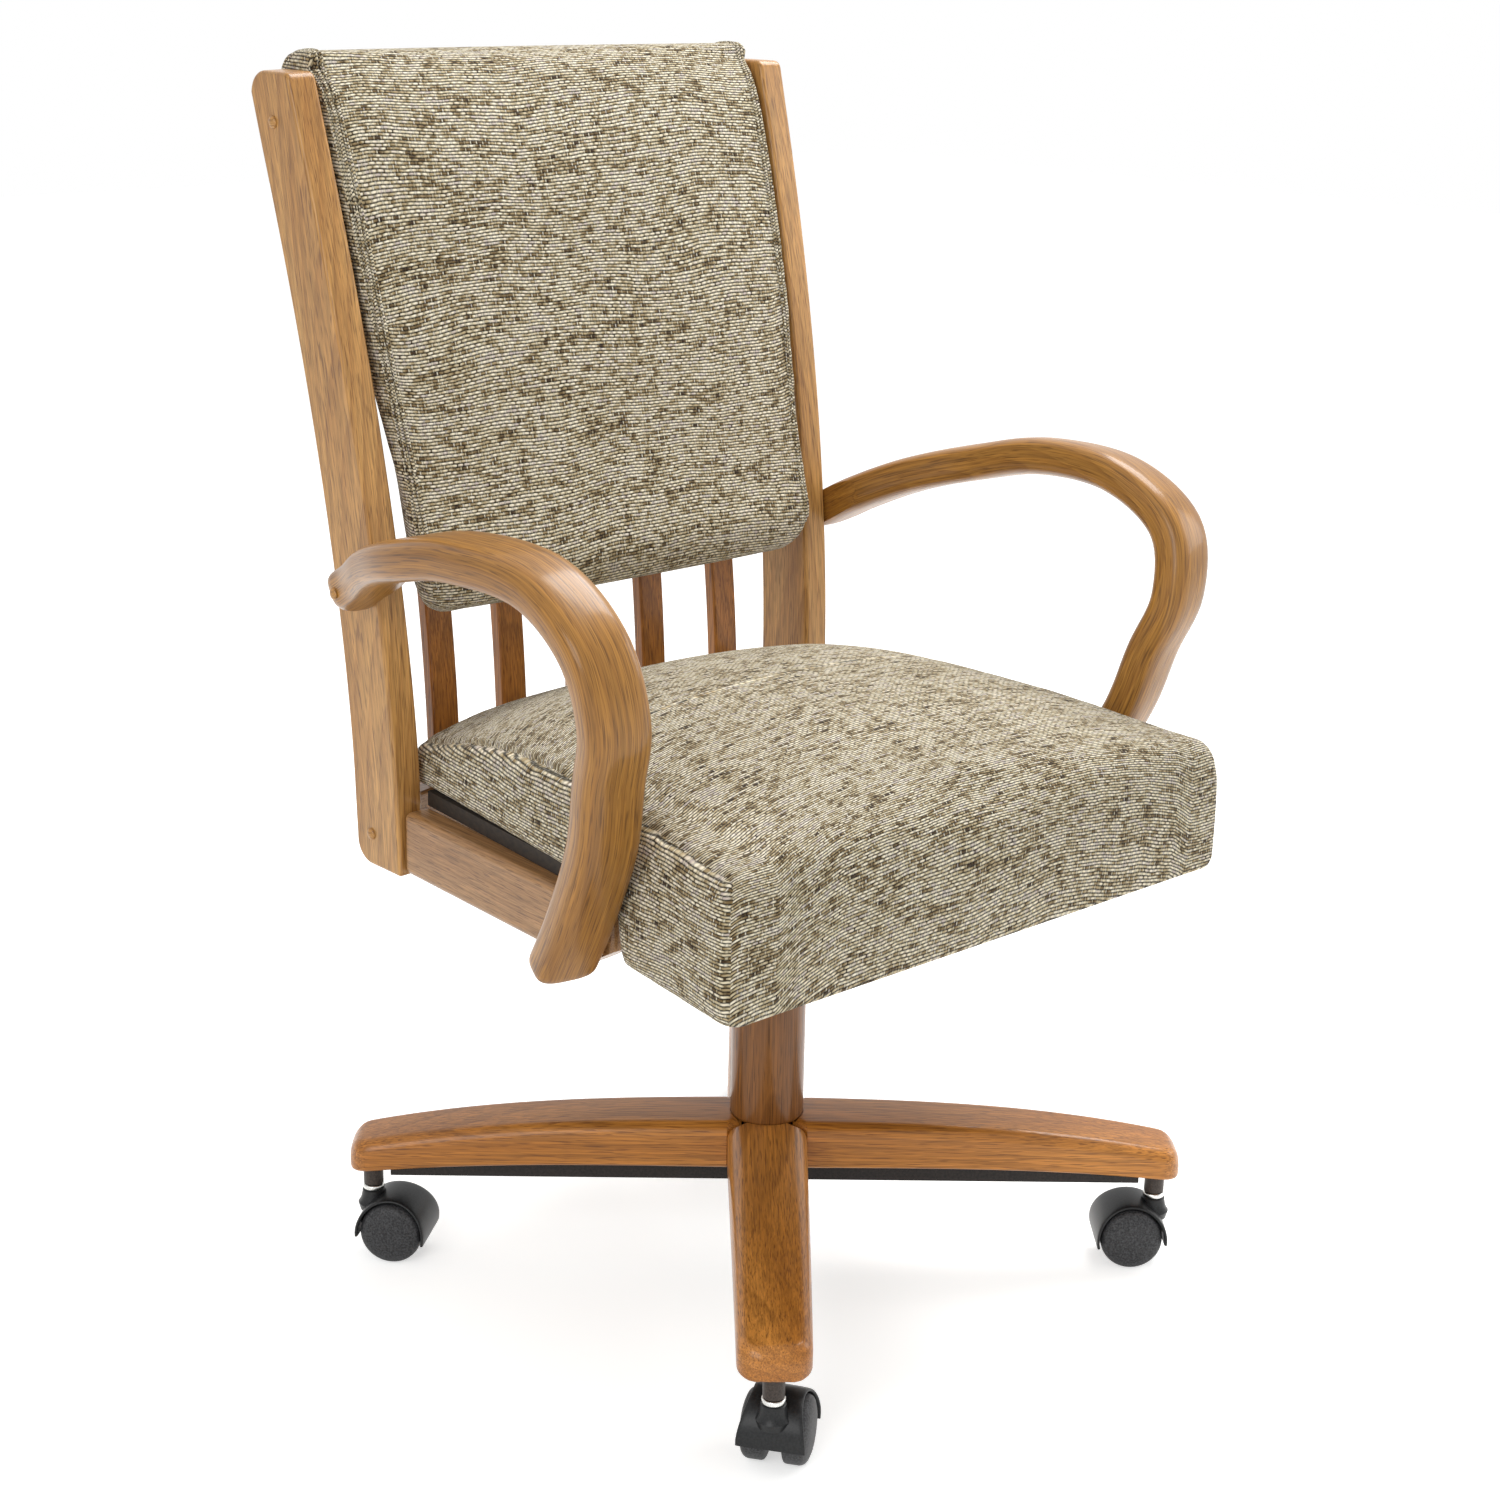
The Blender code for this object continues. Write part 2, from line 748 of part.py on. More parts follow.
def cheek_outline(half_depth, low, high, radius):
    """Plate standing on its foot with a round head over the pivot, in YZ."""
    points = [(PIVOT_Y - half_depth, low), (PIVOT_Y + half_depth, low)]
    return points + corner(PIVOT_Y, high - radius, radius, 0, 180, 8)


def hung_outline(middle, half_depth, low, high):
    """Lug hanging from its top edge with a round lower end, in YZ."""
    points = [(middle + half_depth, high), (middle - half_depth, high)]
    return points + corner(middle, low + half_depth, half_depth, 180, 360, 8)


def side_plate(name, outline, x, half):
    ob = add_object(name, moved(outline_mesh(name, outline, half), TO_YZ))
    ob.location.x = x
    return ob


cheek_x = BRACKET_HALF_WIDTH - PLATE / 2
for sign, mark in ((-1, "right"), (1, "left")):
    cheek = side_plate(
        f"cheek_{mark}",
        cheek_outline(CHEEK_HALF_DEPTH, bracket_foot + 0.001, PIVOT_Z + CHEEK_ROUND, CHEEK_ROUND),
        sign * cheek_x,
        PLATE / 2,
    )
    boolean(tilt_bracket, cheek, "UNION")
spindle = add_object(
    "spindle",
    rod_mesh("spindle", SPINDLE_RADIUS, (0, 0, SPINDLE_END), (0, 0, bracket_foot + 0.002), sides=32),
)
boolean(tilt_bracket, spindle, "UNION")
pivot_hole = add_object(
    "pivot_hole",
    rod_mesh("pivot_hole", PIVOT_RADIUS + CLEARANCE, (-0.08, PIVOT_Y, PIVOT_Z), (0.08, PIVOT_Y, PIVOT_Z)),
)
boolean(tilt_bracket, pivot_hole)
# The bolt rides a little to the rear as the seat tips, so its hole is a slot.
lever = PIVOT_Y - BOLT_Y
bolt_shift = lever * (1 - math.cos(TILT))
slot_half = BOLT_RADIUS + 0.0012
slot_points = corner(0, BOLT_Y + bolt_shift, slot_half, 0, 180, 8)
slot_points += corner(0, BOLT_Y, slot_half, 180, 360, 8)
bolt_slot = add_object("bolt_slot", outline_mesh("bolt_slot", slot_points, 0.01))
bolt_slot.location.z = bracket_foot
boolean(tilt_bracket, bolt_slot)

pivot_axle = turned(
    "pivot_axle",
    [
        (0.0, PIVOT_HALF_LENGTH),
        (PIVOT_RADIUS - 0.001, PIVOT_HALF_LENGTH),
        (PIVOT_RADIUS, PIVOT_HALF_LENGTH - 0.001),
        (PIVOT_RADIUS, -PIVOT_HALF_LENGTH + 0.001),
        (PIVOT_RADIUS - 0.001, -PIVOT_HALF_LENGTH),
        (0.0, -PIVOT_HALF_LENGTH),
    ],
    "zinc",
)
pivot_axle.rotation_euler.y = math.pi / 2
pivot_axle.location = (0, PIVOT_Y, PIVOT_Z)

# Seat plate with its ears outside the cheeks and the lugs for the bolt's eye in front.
plate_top = RAIL_TOP
plate_foot = plate_top - PLATE
pivot = Vector((0, PIVOT_Y, PIVOT_Z))
seat_plate = add_object(
    "seat_plate",
    box_mesh(
        "seat_plate",
        (-SEAT_PLATE_HALF_WIDTH, SEAT_PLATE_FRONT, plate_foot),
        (SEAT_PLATE_HALF_WIDTH, SEAT_PLATE_REAR, plate_top),
    ),
    "steel",
)
set_origin(seat_plate, pivot)
ear_x = BRACKET_HALF_WIDTH + CLEARANCE * 2 + PLATE / 2
lug_x = EYE_HALF_WIDTH + CLEARANCE * 2 + LUG / 2
for sign, mark in ((-1, "right"), (1, "left")):
    ear = side_plate(
        f"ear_{mark}",
        hung_outline(PIVOT_Y, EAR_HALF_DEPTH, PIVOT_Z - EAR_BELOW_PIVOT, plate_foot + 0.001),
        sign * ear_x,
        PLATE / 2,
    )
    boolean(seat_plate, ear, "UNION")
    lug = side_plate(
        f"lug_{mark}",
        hung_outline(BOLT_Y, LUG_HALF_DEPTH, PIVOT_Z - LUG_BELOW_PIN, plate_foot + 0.001),
        sign * lug_x,
        LUG / 2,
    )
    boolean(seat_plate, lug, "UNION")
boolean(seat_plate, pivot_hole)
eye_pin = add_object(
    "eye_pin",
    rod_mesh(
        "eye_pin", PIN_RADIUS, (-lug_x - LUG / 4, BOLT_Y, PIVOT_Z), (lug_x + LUG / 4, BOLT_Y, PIVOT_Z)
    ),
)
boolean(seat_plate, eye_pin, "UNION")

tension_bolt = add_object(
    "tension_bolt",
    rod_mesh(
        "tension_bolt",
        BOLT_RADIUS,
        (0, BOLT_Y, BOLT_END),
        (0, BOLT_Y, PIVOT_Z - PIN_RADIUS - 0.002),
        sides=20,
    ),
    "zinc",
)
set_origin(tension_bolt, (0, BOLT_Y, PIVOT_Z))
eye = add_object(
    "bolt_eye",
    rod_mesh("bolt_eye", EYE_RADIUS, (-EYE_HALF_WIDTH, BOLT_Y, PIVOT_Z), (EYE_HALF_WIDTH, BOLT_Y, PIVOT_Z)),
)
eye_bore = add_object(
    "bolt_eye_bore",
    rod_mesh("bolt_eye_bore", PIN_RADIUS + CLEARANCE, (-0.02, BOLT_Y, PIVOT_Z), (0.02, BOLT_Y, PIVOT_Z)),
)
boolean(tension_bolt, eye, "UNION")
boolean(tension_bolt, eye_bore)

cup_foot = CUP_TOP - CUP_HEIGHT
spring_cup = turned(
    "spring_cup",
    [
        (BOLT_RADIUS + CLEARANCE, CUP_TOP),
        (CUP_RADIUS - 0.001, CUP_TOP),
        (CUP_RADIUS, CUP_TOP - 0.001),
        (CUP_RADIUS, cup_foot),
        (BOLT_RADIUS + CLEARANCE, cup_foot),
    ],
    "zinc",
    closed=True,
)
spring_cup.location = (0, BOLT_Y, 0)

knob_top = cup_foot - CLEARANCE
knob_foot = knob_top - KNOB_HEIGHT
tension_knob = turned(
    "tension_knob",
    [
        (BOLT_RADIUS + CLEARANCE, 0.0),
        (KNOB_RADIUS - 0.003, 0.0),
        (KNOB_RADIUS, -0.003),
        (KNOB_RADIUS, -KNOB_HEIGHT + 0.003),
        (KNOB_RADIUS - 0.003, -KNOB_HEIGHT),
        (0.0, -KNOB_HEIGHT),
        (0.0, BOLT_END - CLEARANCE - knob_top),
        (BOLT_RADIUS + CLEARANCE, BOLT_END - CLEARANCE - knob_top),
    ],
    "plastic",
    steps=20,
    closed=True,
)
tension_knob.location = (0, BOLT_Y, knob_top)

spring_top = bracket_foot - CLEARANCE
spring_foot = CUP_TOP + CLEARANCE


def spring_points():
    per_curl = 8
    total = SPRING_CURLS * per_curl
    rise = spring_top - spring_foot - 2 * SPRING_WIRE
    points = []
    for i in range(total + 1):
        a = 2 * math.pi * i / per_curl
        z = spring_foot + SPRING_WIRE + rise * i / total
        points.append((SPRING_RADIUS * math.cos(a), BOLT_Y + SPRING_RADIUS * math.sin(a), z))
    return points


def tube_from(name, points, radius, look, resolution=1):
    """Round tube along a line of points, with closed ends, as a mesh."""
    curve = bpy.data.curves.new(name, "CURVE")
    curve.dimensions = "3D"
    curve.bevel_depth = radius
    curve.bevel_resolution = resolution
    curve.use_fill_caps = True
    spline = curve.splines.new("POLY")
    spline.points.add(len(points) - 1)
    for point, spot in zip(spline.points, points):
        point.co = (*spot, 1.0)
    guide = bpy.data.objects.new(name + "_line", curve)
    cutters.objects.link(guide)
    evaluated = guide.evaluated_get(bpy.context.evaluated_depsgraph_get())
    mesh = bpy.data.meshes.new_from_object(evaluated)
    bpy.data.objects.remove(guide, do_unlink=True)
    bm = bmesh.new()
    bm.from_mesh(mesh)
    bmesh.ops.remove_doubles(bm, verts=bm.verts, dist=0.00001)
    bmesh.ops.recalc_face_normals(bm, faces=bm.faces)
    bm.to_mesh(mesh)
    bm.free()
    return add_object(name, mesh, look)


tension_spring = tube_from("tension_spring", spring_points(), SPRING_WIRE, "zinc")
spring_gap = (spring_top - spring_foot - 2 * SPRING_WIRE) / SPRING_CURLS - 2 * SPRING_WIRE
print("gap between the spring's curls, mm:", round(spring_gap * 1000, 2))


# Seat frame and board.
def post_outer(z):
    return POST_OUTER_FOOT + (POST_OUTER_TOP - POST_OUTER_FOOT) * (z - POST_FOOT) / (POST_TOP - POST_FOOT)


def post_inner(z):
    return post_outer(z) - POST_THICKNESS


def post_front(z):
    return POST_FRONT + POST_BEND * max(0.0, z - POST_BEND_Z) ** POST_BEND_POWER


rail_rear = POST_FRONT - CLEARANCE
# The rails' front ends slope up underneath, so that nothing hangs below the skirt.
rail_notch = [
    (RAIL_FRONT + RAIL_NOTCH_LONG, RAIL_UNDER - 0.001),
    (RAIL_FRONT, RAIL_UNDER + RAIL_NOTCH_HIGH),
    (RAIL_FRONT - 0.01, RAIL_UNDER + RAIL_NOTCH_HIGH),
    (RAIL_FRONT - 0.01, RAIL_UNDER - 0.001),
]
rail_slope = add_object(
    "rail_slope", moved(outline_mesh("rail_slope", rail_notch, RAIL_OUTER_FRONT * 1.2), TO_YZ)
)
rail_run = math.hypot(rail_rear - RAIL_FRONT, RAIL_OUTER_FRONT - RAIL_OUTER_REAR)
rail_turn = math.atan2(RAIL_OUTER_FRONT - RAIL_OUTER_REAR, rail_rear - RAIL_FRONT)
for sign, mark in ((-1, "right"), (1, "left")):
    rail_points = [
        (sign * RAIL_OUTER_REAR, rail_rear),
        (sign * RAIL_OUTER_FRONT, RAIL_FRONT),
        (sign * (RAIL_OUTER_FRONT - RAIL_THICKNESS), RAIL_FRONT),
        (sign * (RAIL_OUTER_REAR - RAIL_THICKNESS), rail_rear),
    ]
    rail = add_object(
        f"side_rail_{mark}",
        outline_mesh(f"side_rail_{mark}", rail_points, (RAIL_TOP - RAIL_UNDER) / 2),
        "oak",
    )
    rail.location.z = (RAIL_TOP + RAIL_UNDER) / 2
    rail.data.transform(Matrix.Translation((0, 0, rail.location.z)))
    rail.location.z = 0.0
    set_origin(rail, pivot)
    boolean(rail, rail_slope)
    bevel(rail, RAIL_ROUND, 3)

board_foot = RAIL_TOP + CLEARANCE


def seat_half(y):
    """Half width of the cushion, which narrows towards the posts."""
    share = (y - SEAT_FRONT) / (rail_rear - SEAT_FRONT)
    return SEAT_HALF_FRONT + (SEAT_HALF_REAR - SEAT_HALF_FRONT) * min(1.0, share)


def board_outline():
    """Board that lies on the rails and runs forward inside the cushion's skirt."""
    shoulder = SEAT_SKIRT_REAR + BOARD_ROOM
    inner = SEAT_SKIRT + SEAT_SKIRT_SLOPE + BOARD_ROOM
    right = [
        (seat_half(rail_rear) - CLEARANCE, rail_rear),
        (seat_half(shoulder) - BOARD_INSET, shoulder),
        (seat_half(shoulder) - inner, shoulder),
        (seat_half(BOARD_FRONT) - inner, BOARD_FRONT),
    ]
    return [(-x, y) for x, y in right] + [(x, y) for x, y in reversed(right)]


seat_board = add_object("seat_board", outline_mesh("seat_board", board_outline(), BOARD / 2), "ply")
seat_board.data.transform(Matrix.Translation((0, 0, board_foot + BOARD / 2)))
set_origin(seat_board, pivot)


# Seat cushion: crowned top, sides drawn in below, a skirt over the board's front.
def seat_edge(y):
    if y < 0.0:
        share = min(1.0, (0.0 - y) / 0.2)
        return SEAT_EDGE_MIDDLE + (SEAT_EDGE_FRONT - SEAT_EDGE_MIDDLE) * share ** 2
    share = min(1.0, y / 0.19)
    return SEAT_EDGE_MIDDLE + (SEAT_EDGE_REAR - SEAT_EDGE_MIDDLE) * share ** 2


board_top = board_foot + BOARD
cushion_seat = board_top + CLEARANCE


def seat_ring(y, foot, recess, end):
    """Section across the cushion at y; end is its distance from the nearer end."""
    half = seat_half(y) - round_off(end, SEAT_CORNER)
    drop = round_off(end, SEAT_CORNER) * 1.0
    edge = seat_edge(y) - drop
    crown = SEAT_CROWN * (0.55 + 0.45 * min(1.0, end / 0.12))
    foot = foot + round_off(end, SEAT_FOOT_ROUND)
    side = edge - foot
    right = [
        (half - SEAT_SKIRT - SEAT_SKIRT_SLOPE, recess),
        (half - SEAT_SKIRT, foot),
        (half - 0.007, foot),
        (half - 0.0015, foot + 0.07 * side),
        (half, foot + 0.28 * side),
        (half, foot + 0.50 * side),
        (half - 0.002, foot + 0.76 * side),
        (half - 0.007, foot + 0.91 * side),
        (half - 0.018, edge + 0.001),
        (half - 0.037, edge + crown * 0.35),
        (half * 0.66, edge + crown * 0.68),
        (half * 0.44, edge + crown * 0.87),
        (half * 0.22, edge + crown * 0.97),
    ]
    ring = [(0.0, recess)] + right + [(0.0, edge + crown)]
    ring += [(-x, z) for x, z in reversed(right)]
    return [(x, y, z) for x, z in ring]


def seat_rings():
    board_end = BOARD_FRONT - CLEARANCE * 2
    rings = []
    for d in (0.0008, 0.004, 0.010, 0.018, 0.027):
        y = SEAT_FRONT + d
        rings.append(seat_ring(y, SEAT_SKIRT_FOOT, SEAT_SKIRT_FOOT + round_off(d, SEAT_FOOT_ROUND), d))
    d = board_end - SEAT_FRONT
    rings.append(seat_ring(board_end - 0.0004, SEAT_SKIRT_FOOT, SEAT_SKIRT_FOOT, d))
    rings.append(seat_ring(board_end + 0.0002, SEAT_SKIRT_FOOT, cushion_seat, d))
    for y in (-0.18, -0.14, SEAT_SKIRT_REAR - 0.006):
        rings.append(seat_ring(y, SEAT_SKIRT_FOOT, cushion_seat, y - SEAT_FRONT))
    for y in (SEAT_SKIRT_REAR, -0.05, 0.0, 0.05, 0.10, 0.14, 0.165):
        rings.append(seat_ring(y, cushion_seat, cushion_seat, min(y - SEAT_FRONT, SEAT_REAR - y)))
    for d in (0.028, 0.018, 0.010, 0.004, 0.0008):
        rings.append(seat_ring(SEAT_REAR - d, cushion_seat, cushion_seat, d))
    return rings


seat_cushion = add_object("seat_cushion", loft_mesh("seat_cushion", seat_rings()), "fabric")
set_origin(seat_cushion, pivot)


# Back posts.
seat_pieces = []


def post_outline():
    foot, top = POST_FOOT, POST_TOP
    rear = POST_FRONT + POST_DEPTH
    points = [(POST_FRONT, foot)]
    points += corner(rear - POST_HEEL_ROUND, foot + POST_HEEL_ROUND, POST_HEEL_ROUND, -90, 0, 5)
    heights = [0.40, 0.46, 0.52, 0.58, 0.64, 0.70, 0.76, 0.82, 0.87]
    points += [(post_front(z) + POST_DEPTH, z) for z in heights]
    head_y = post_front(top) + POST_DEPTH - 0.006
    points += corner(head_y - POST_HEAD_ROUND, top - POST_HEAD_ROUND, POST_HEAD_ROUND, 10, 90, 5)
    brow_y = post_front(top - POST_BROW_ROUND)
    points += corner(brow_y + POST_BROW_ROUND, top - POST_BROW_ROUND, POST_BROW_ROUND, 95, 165, 3)
    points += [(post_front(z), z) for z in reversed(heights)]
    return points


post_lean = math.atan2(POST_OUTER_TOP - POST_OUTER_FOOT, POST_TOP - POST_FOOT)


def lean_matrix(sign):
    """Puts local X = 0 on a post's outer face, leaning with it."""
    return Matrix.Translation((sign * POST_OUTER_FOOT, 0, POST_FOOT)) @ Matrix.Rotation(
        sign * post_lean, 4, "Y"
    ) @ Matrix.Translation((0, 0, -POST_FOOT))


def outer_face(sign, y, z, depth=0.0):
    """Point on a post's outer face, or depth behind it."""
    return lean_matrix(sign) @ Vector((-sign * depth, y, z))


def plug(name, spot, direction):
    """Domed button with a shank, its dome's flat back on the spot."""
    ob = turned(
        name,
        [(0.0, PLUG_DOME)]
        + [
            (PLUG_RADIUS * math.sin(a), PLUG_DOME * math.cos(a))
            for a in (math.radians(28), math.radians(56), math.radians(80))
        ]
        + [
            (PLUG_RADIUS, 0.0),
            (PLUG_SHANK_RADIUS, 0.0),
            (PLUG_SHANK_RADIUS, -PLUG_SHANK),
            (0.0, -PLUG_SHANK),
        ],
        "oak",
        steps=12,
    )
    turn = direction.to_track_quat("Z", "Y").to_matrix().to_4x4()
    ob.matrix_world = Matrix.Translation(spot + direction * CLEARANCE) @ turn
    return ob


def plug_hole(name, spot, direction):
    start = spot - direction * (PLUG_SHANK + CLEARANCE)
    return add_object(
        name, rod_mesh(name, PLUG_SHANK_RADIUS + CLEARANCE, start, spot + direction * 0.01, sides=12)
    )


for sign, mark in ((-1, "right"), (1, "left")):
    mesh = moved(outline_mesh(f"back_post_{mark}", post_outline(), POST_THICKNESS / 2), TO_YZ)
    mesh.transform(lean_matrix(sign) @ Matrix.Translation((-sign * POST_THICKNESS / 2, 0, 0)))
    post = add_object(f"back_post_{mark}", mesh, "oak")
    set_origin(post, pivot)
    bevel(post, POST_EDGE_ROUND, 2, 50.0)
    outward = (lean_matrix(sign).to_3x3() @ Vector((sign, 0, 0))).normalized()
    for level, y, z in (("top", PLUG_HIGH_Y, PLUG_HIGH), ("foot", PLUG_LOW_Y, PLUG_LOW)):
        spot = outer_face(sign, y, z)
        boolean(post, plug_hole(f"plug_hole_{level}_{mark}", spot, outward))
        seat_pieces.append(plug(f"plug_{level}_{mark}", spot, outward))


def bow(x, depth):
    return depth * (x / (2 * SLAT_SPACING)) ** 2


slat_foot = RAIL_TOP + CLEARANCE
slat_top = TOP_RAIL_UNDER - CLEARANCE


def slat_front(x, z):
    share = (z - slat_foot) / (slat_top - slat_foot)
    depth = LOW_BOW + (HIGH_BOW - LOW_BOW) * share
    return post_front(z) + SLAT_SET_BACK - bow(x, depth)


for i in range(5):
    x = (i - 2) * SLAT_SPACING
    heights = [slat_foot + (slat_top - slat_foot) * n / 9 for n in range(10)]
    side = [(slat_front(x, z) + SLAT_THICKNESS, z) for z in heights]
    side += [(slat_front(x, z), z) for z in reversed(heights)]
    slat = add_object(
        f"slat_{i + 1}", moved(outline_mesh(f"slat_{i + 1}", side, SLAT_WIDTH / 2), TO_YZ), "oak"
    )
    slat.data.transform(Matrix.Translation((x, 0, 0)))
    set_origin(slat, pivot)
    bevel(slat, SLAT_EDGE_ROUND, 1, 50.0)


def cross_rail(name, half_length, front, depth, foot, top):
    """Rail between the posts, bowed to the rear in plan."""
    places = [half_length * (n / 5 - 1) for n in range(11)]
    points = [(x, front - bow(x, depth)) for x in places]
    points += [(x, front + CROSS_RAIL_THICKNESS - bow(x, depth)) for x in reversed(places)]
    ob = add_object(name, outline_mesh(name, points, (top - foot) / 2), "oak")
    ob.data.transform(Matrix.Translation((0, 0, (top + foot) / 2)))
    set_origin(ob, pivot)
    bevel(ob, CROSS_RAIL_ROUND, 1, 50.0)
    return ob


low_rail_front = slat_front(0, slat_foot) - CROSS_RAIL_PROUD
high_rail_front = slat_front(0, slat_top) - CROSS_RAIL_PROUD
cross_rail(
    "rear_rail", post_inner(RAIL_UNDER) - CLEARANCE, low_rail_front, LOW_BOW, RAIL_UNDER, RAIL_TOP
)
cross_rail(
    "top_rail",
    post_inner(TOP_RAIL_UNDER) - CLEARANCE,
    high_rail_front,
    HIGH_BOW,
    TOP_RAIL_UNDER,
    TOP_RAIL_TOP,
)


# Back pad: front face from foot to top, over the upper rail, down a short flap behind,
# then back under the rail and down in front of the slats.
def pad_half(z):
    drawn = PAD_FOOT_DRAW * max(0.0, 1.0 - (z - PAD_FOOT) / PAD_FOOT_DRAW_HIGH)
    return post_inner(z) - PAD_SIDE_GAP - drawn


def pad_ring(u):
    inset = 1.0 - abs(u)
    soft = 0.0
    if inset < 0.06:
        soft = 0.008 * (1.0 - math.sqrt(max(0.0, 1.0 - (1.0 - inset / 0.06) ** 2)))
    reach = post_inner(PAD_FOOT)
    lift = round_off(inset * reach, PAD_FOOT_CORNER) * 0.85
    tuck = round_off(inset * reach, PAD_REAR_SOFT)
    crown = PAD_CROWN * (1.0 - abs(u) ** 3)

    def front(z):
        share = (z - PAD_FOOT) / (PAD_TOP - PAD_FOOT)
        proud = PAD_PROUD_FOOT + (PAD_PROUD_HEAD - PAD_PROUD_FOOT) * share
        belly = 0.010 * max(0.0, 1.0 - (z - PAD_FOOT) / 0.12)
        return post_front(z) - proud - crown * (1.0 - 0.5 * share) - belly + soft

    def back(z):
        x = u * pad_half(z)
        rail = high_rail_front - bow(x, HIGH_BOW) if z > 0.82 else 1.0
        below = min(1.0, max(0.0, (0.84 - z) / 0.10))
        slats = min(slat_front(x, z), slat_front(2 * SLAT_SPACING, z) + 0.006)
        return min(slats, rail) - PAD_BACK_GAP - tuck * below

    edge_x = u * pad_half(TOP_RAIL_TOP)
    rail_front = high_rail_front - bow(edge_x, HIGH_BOW)
    rail_rear_face = rail_front + CROSS_RAIL_THICKNESS
    over = TOP_RAIL_TOP + PAD_BACK_GAP
    top = PAD_TOP - soft * 0.6
    wrap = PAD_WRAP - soft
    foot = PAD_FOOT + lift
    heights = [foot + 0.022] + [PAD_FOOT + d for d in (0.06, 0.11, 0.16, 0.21, 0.26, 0.31, 0.345)]
    loop = [(front(z), z) for z in heights]
    loop += [
        (front(0.905) + 0.001, 0.905),
        (front(0.92) + 0.005, 0.922),
        (front(0.93) + 0.014, top - 0.0085),
        (rail_front - 0.004, top - 0.0015),
        (rail_front + 0.012, top),
        (rail_rear_face + 0.002, top - 0.003),
        (rail_rear_face + wrap * 0.75, top - 0.012),
        (rail_rear_face + wrap, top - 0.028),
        (rail_rear_face + wrap, PAD_FLAP_FOOT + 0.02),
        (rail_rear_face + wrap * 0.85, PAD_FLAP_FOOT + 0.006),
        (rail_rear_face + wrap * 0.5, PAD_FLAP_FOOT),
        (rail_rear_face + PAD_BACK_GAP, PAD_FLAP_FOOT + 0.001),
        (rail_rear_face + PAD_BACK_GAP, over),
        (rail_front - PAD_BACK_GAP, over),
        (back(0.90), 0.893),
        (back(0.86), 0.858),
    ]
    loop += [(back(z), z) for z in (0.82, 0.77, 0.71, 0.65, 0.60, 0.565)]
    rear_foot = back(0.55)
    loop[-1] = (back(0.565), max(0.565, foot + 0.016))
    loop += [
        (rear_foot - 0.004, foot + 0.006),
        (rear_foot - 0.018, foot),
        (front(0.56) + 0.020, foot),
        (front(0.56) + 0.010, foot + 0.0035),
        (front(0.56) + 0.003, foot + 0.011),
    ]

    def half(y, z):
        # Lower down, the sides slant inwards to the rear.
        behind = min(1.0, max(0.0, (y - post_front(z) + PAD_PROUD_FOOT) / 0.045))
        return pad_half(z) - PAD_REAR_DRAW * behind * min(1.0, max(0.0, (0.76 - z) / 0.10))

    return [(u * half(y, z), y, z) for y, z in loop]


pad_stations = (1.0, 0.985, 0.96, 0.92, 0.80, 0.6, 0.4, 0.2)
pad_rings = [pad_ring(-u) for u in pad_stations] + [pad_ring(0.0)]
pad_rings += [pad_ring(u) for u in reversed(pad_stations)]
back_pad = add_object("back_pad", loft_mesh("back_pad", pad_rings), "fabric")
set_origin(back_pad, pivot)


# Arms.
def smooth_way(knots, steps):
    """Points and directions evenly along a Catmull-Rom line through the knots."""
    line = [Vector(k) for k in knots]
    first = line[0] * 2 - line[1]
    last = line[-1] * 2 - line[-2]
    line = [first] + line + [last]
    fine = []
    for a, b, c, d in zip(line, line[1:], line[2:], line[3:]):
        for i in range(16):
            t = i / 16
            square = 2 * a - 5 * b + 4 * c - d
            cube = 3 * b - a - 3 * c + d
            fine.append(0.5 * (2 * b + (c - a) * t + square * t * t + cube * t ** 3))
    fine.append(line[-2])
    run = [0.0]
    for a, b in zip(fine, fine[1:]):
        run.append(run[-1] + (b - a).length)

    def at(s):
        for i in range(len(run) - 1):
            if run[i + 1] >= s:
                t = (s - run[i]) / max(1e-9, run[i + 1] - run[i])
                return fine[i].lerp(fine[i + 1], t)
        return fine[-1]

    total = run[-1]
    places = [0.0015, 0.005, 0.010, 0.017, 0.026]
    places += [0.036 + (total - 0.06) * n / steps for n in range(steps + 1)]
    places += [total - d for d in (0.017, 0.011, 0.006, 0.0025, 0.0006)]
    stations = []
    for s in places:
        way = at(min(total, s + 0.006)) - at(max(0.0, s - 0.006))
        stations.append((s, total - s, at(s), way.normalized()))
    return stations


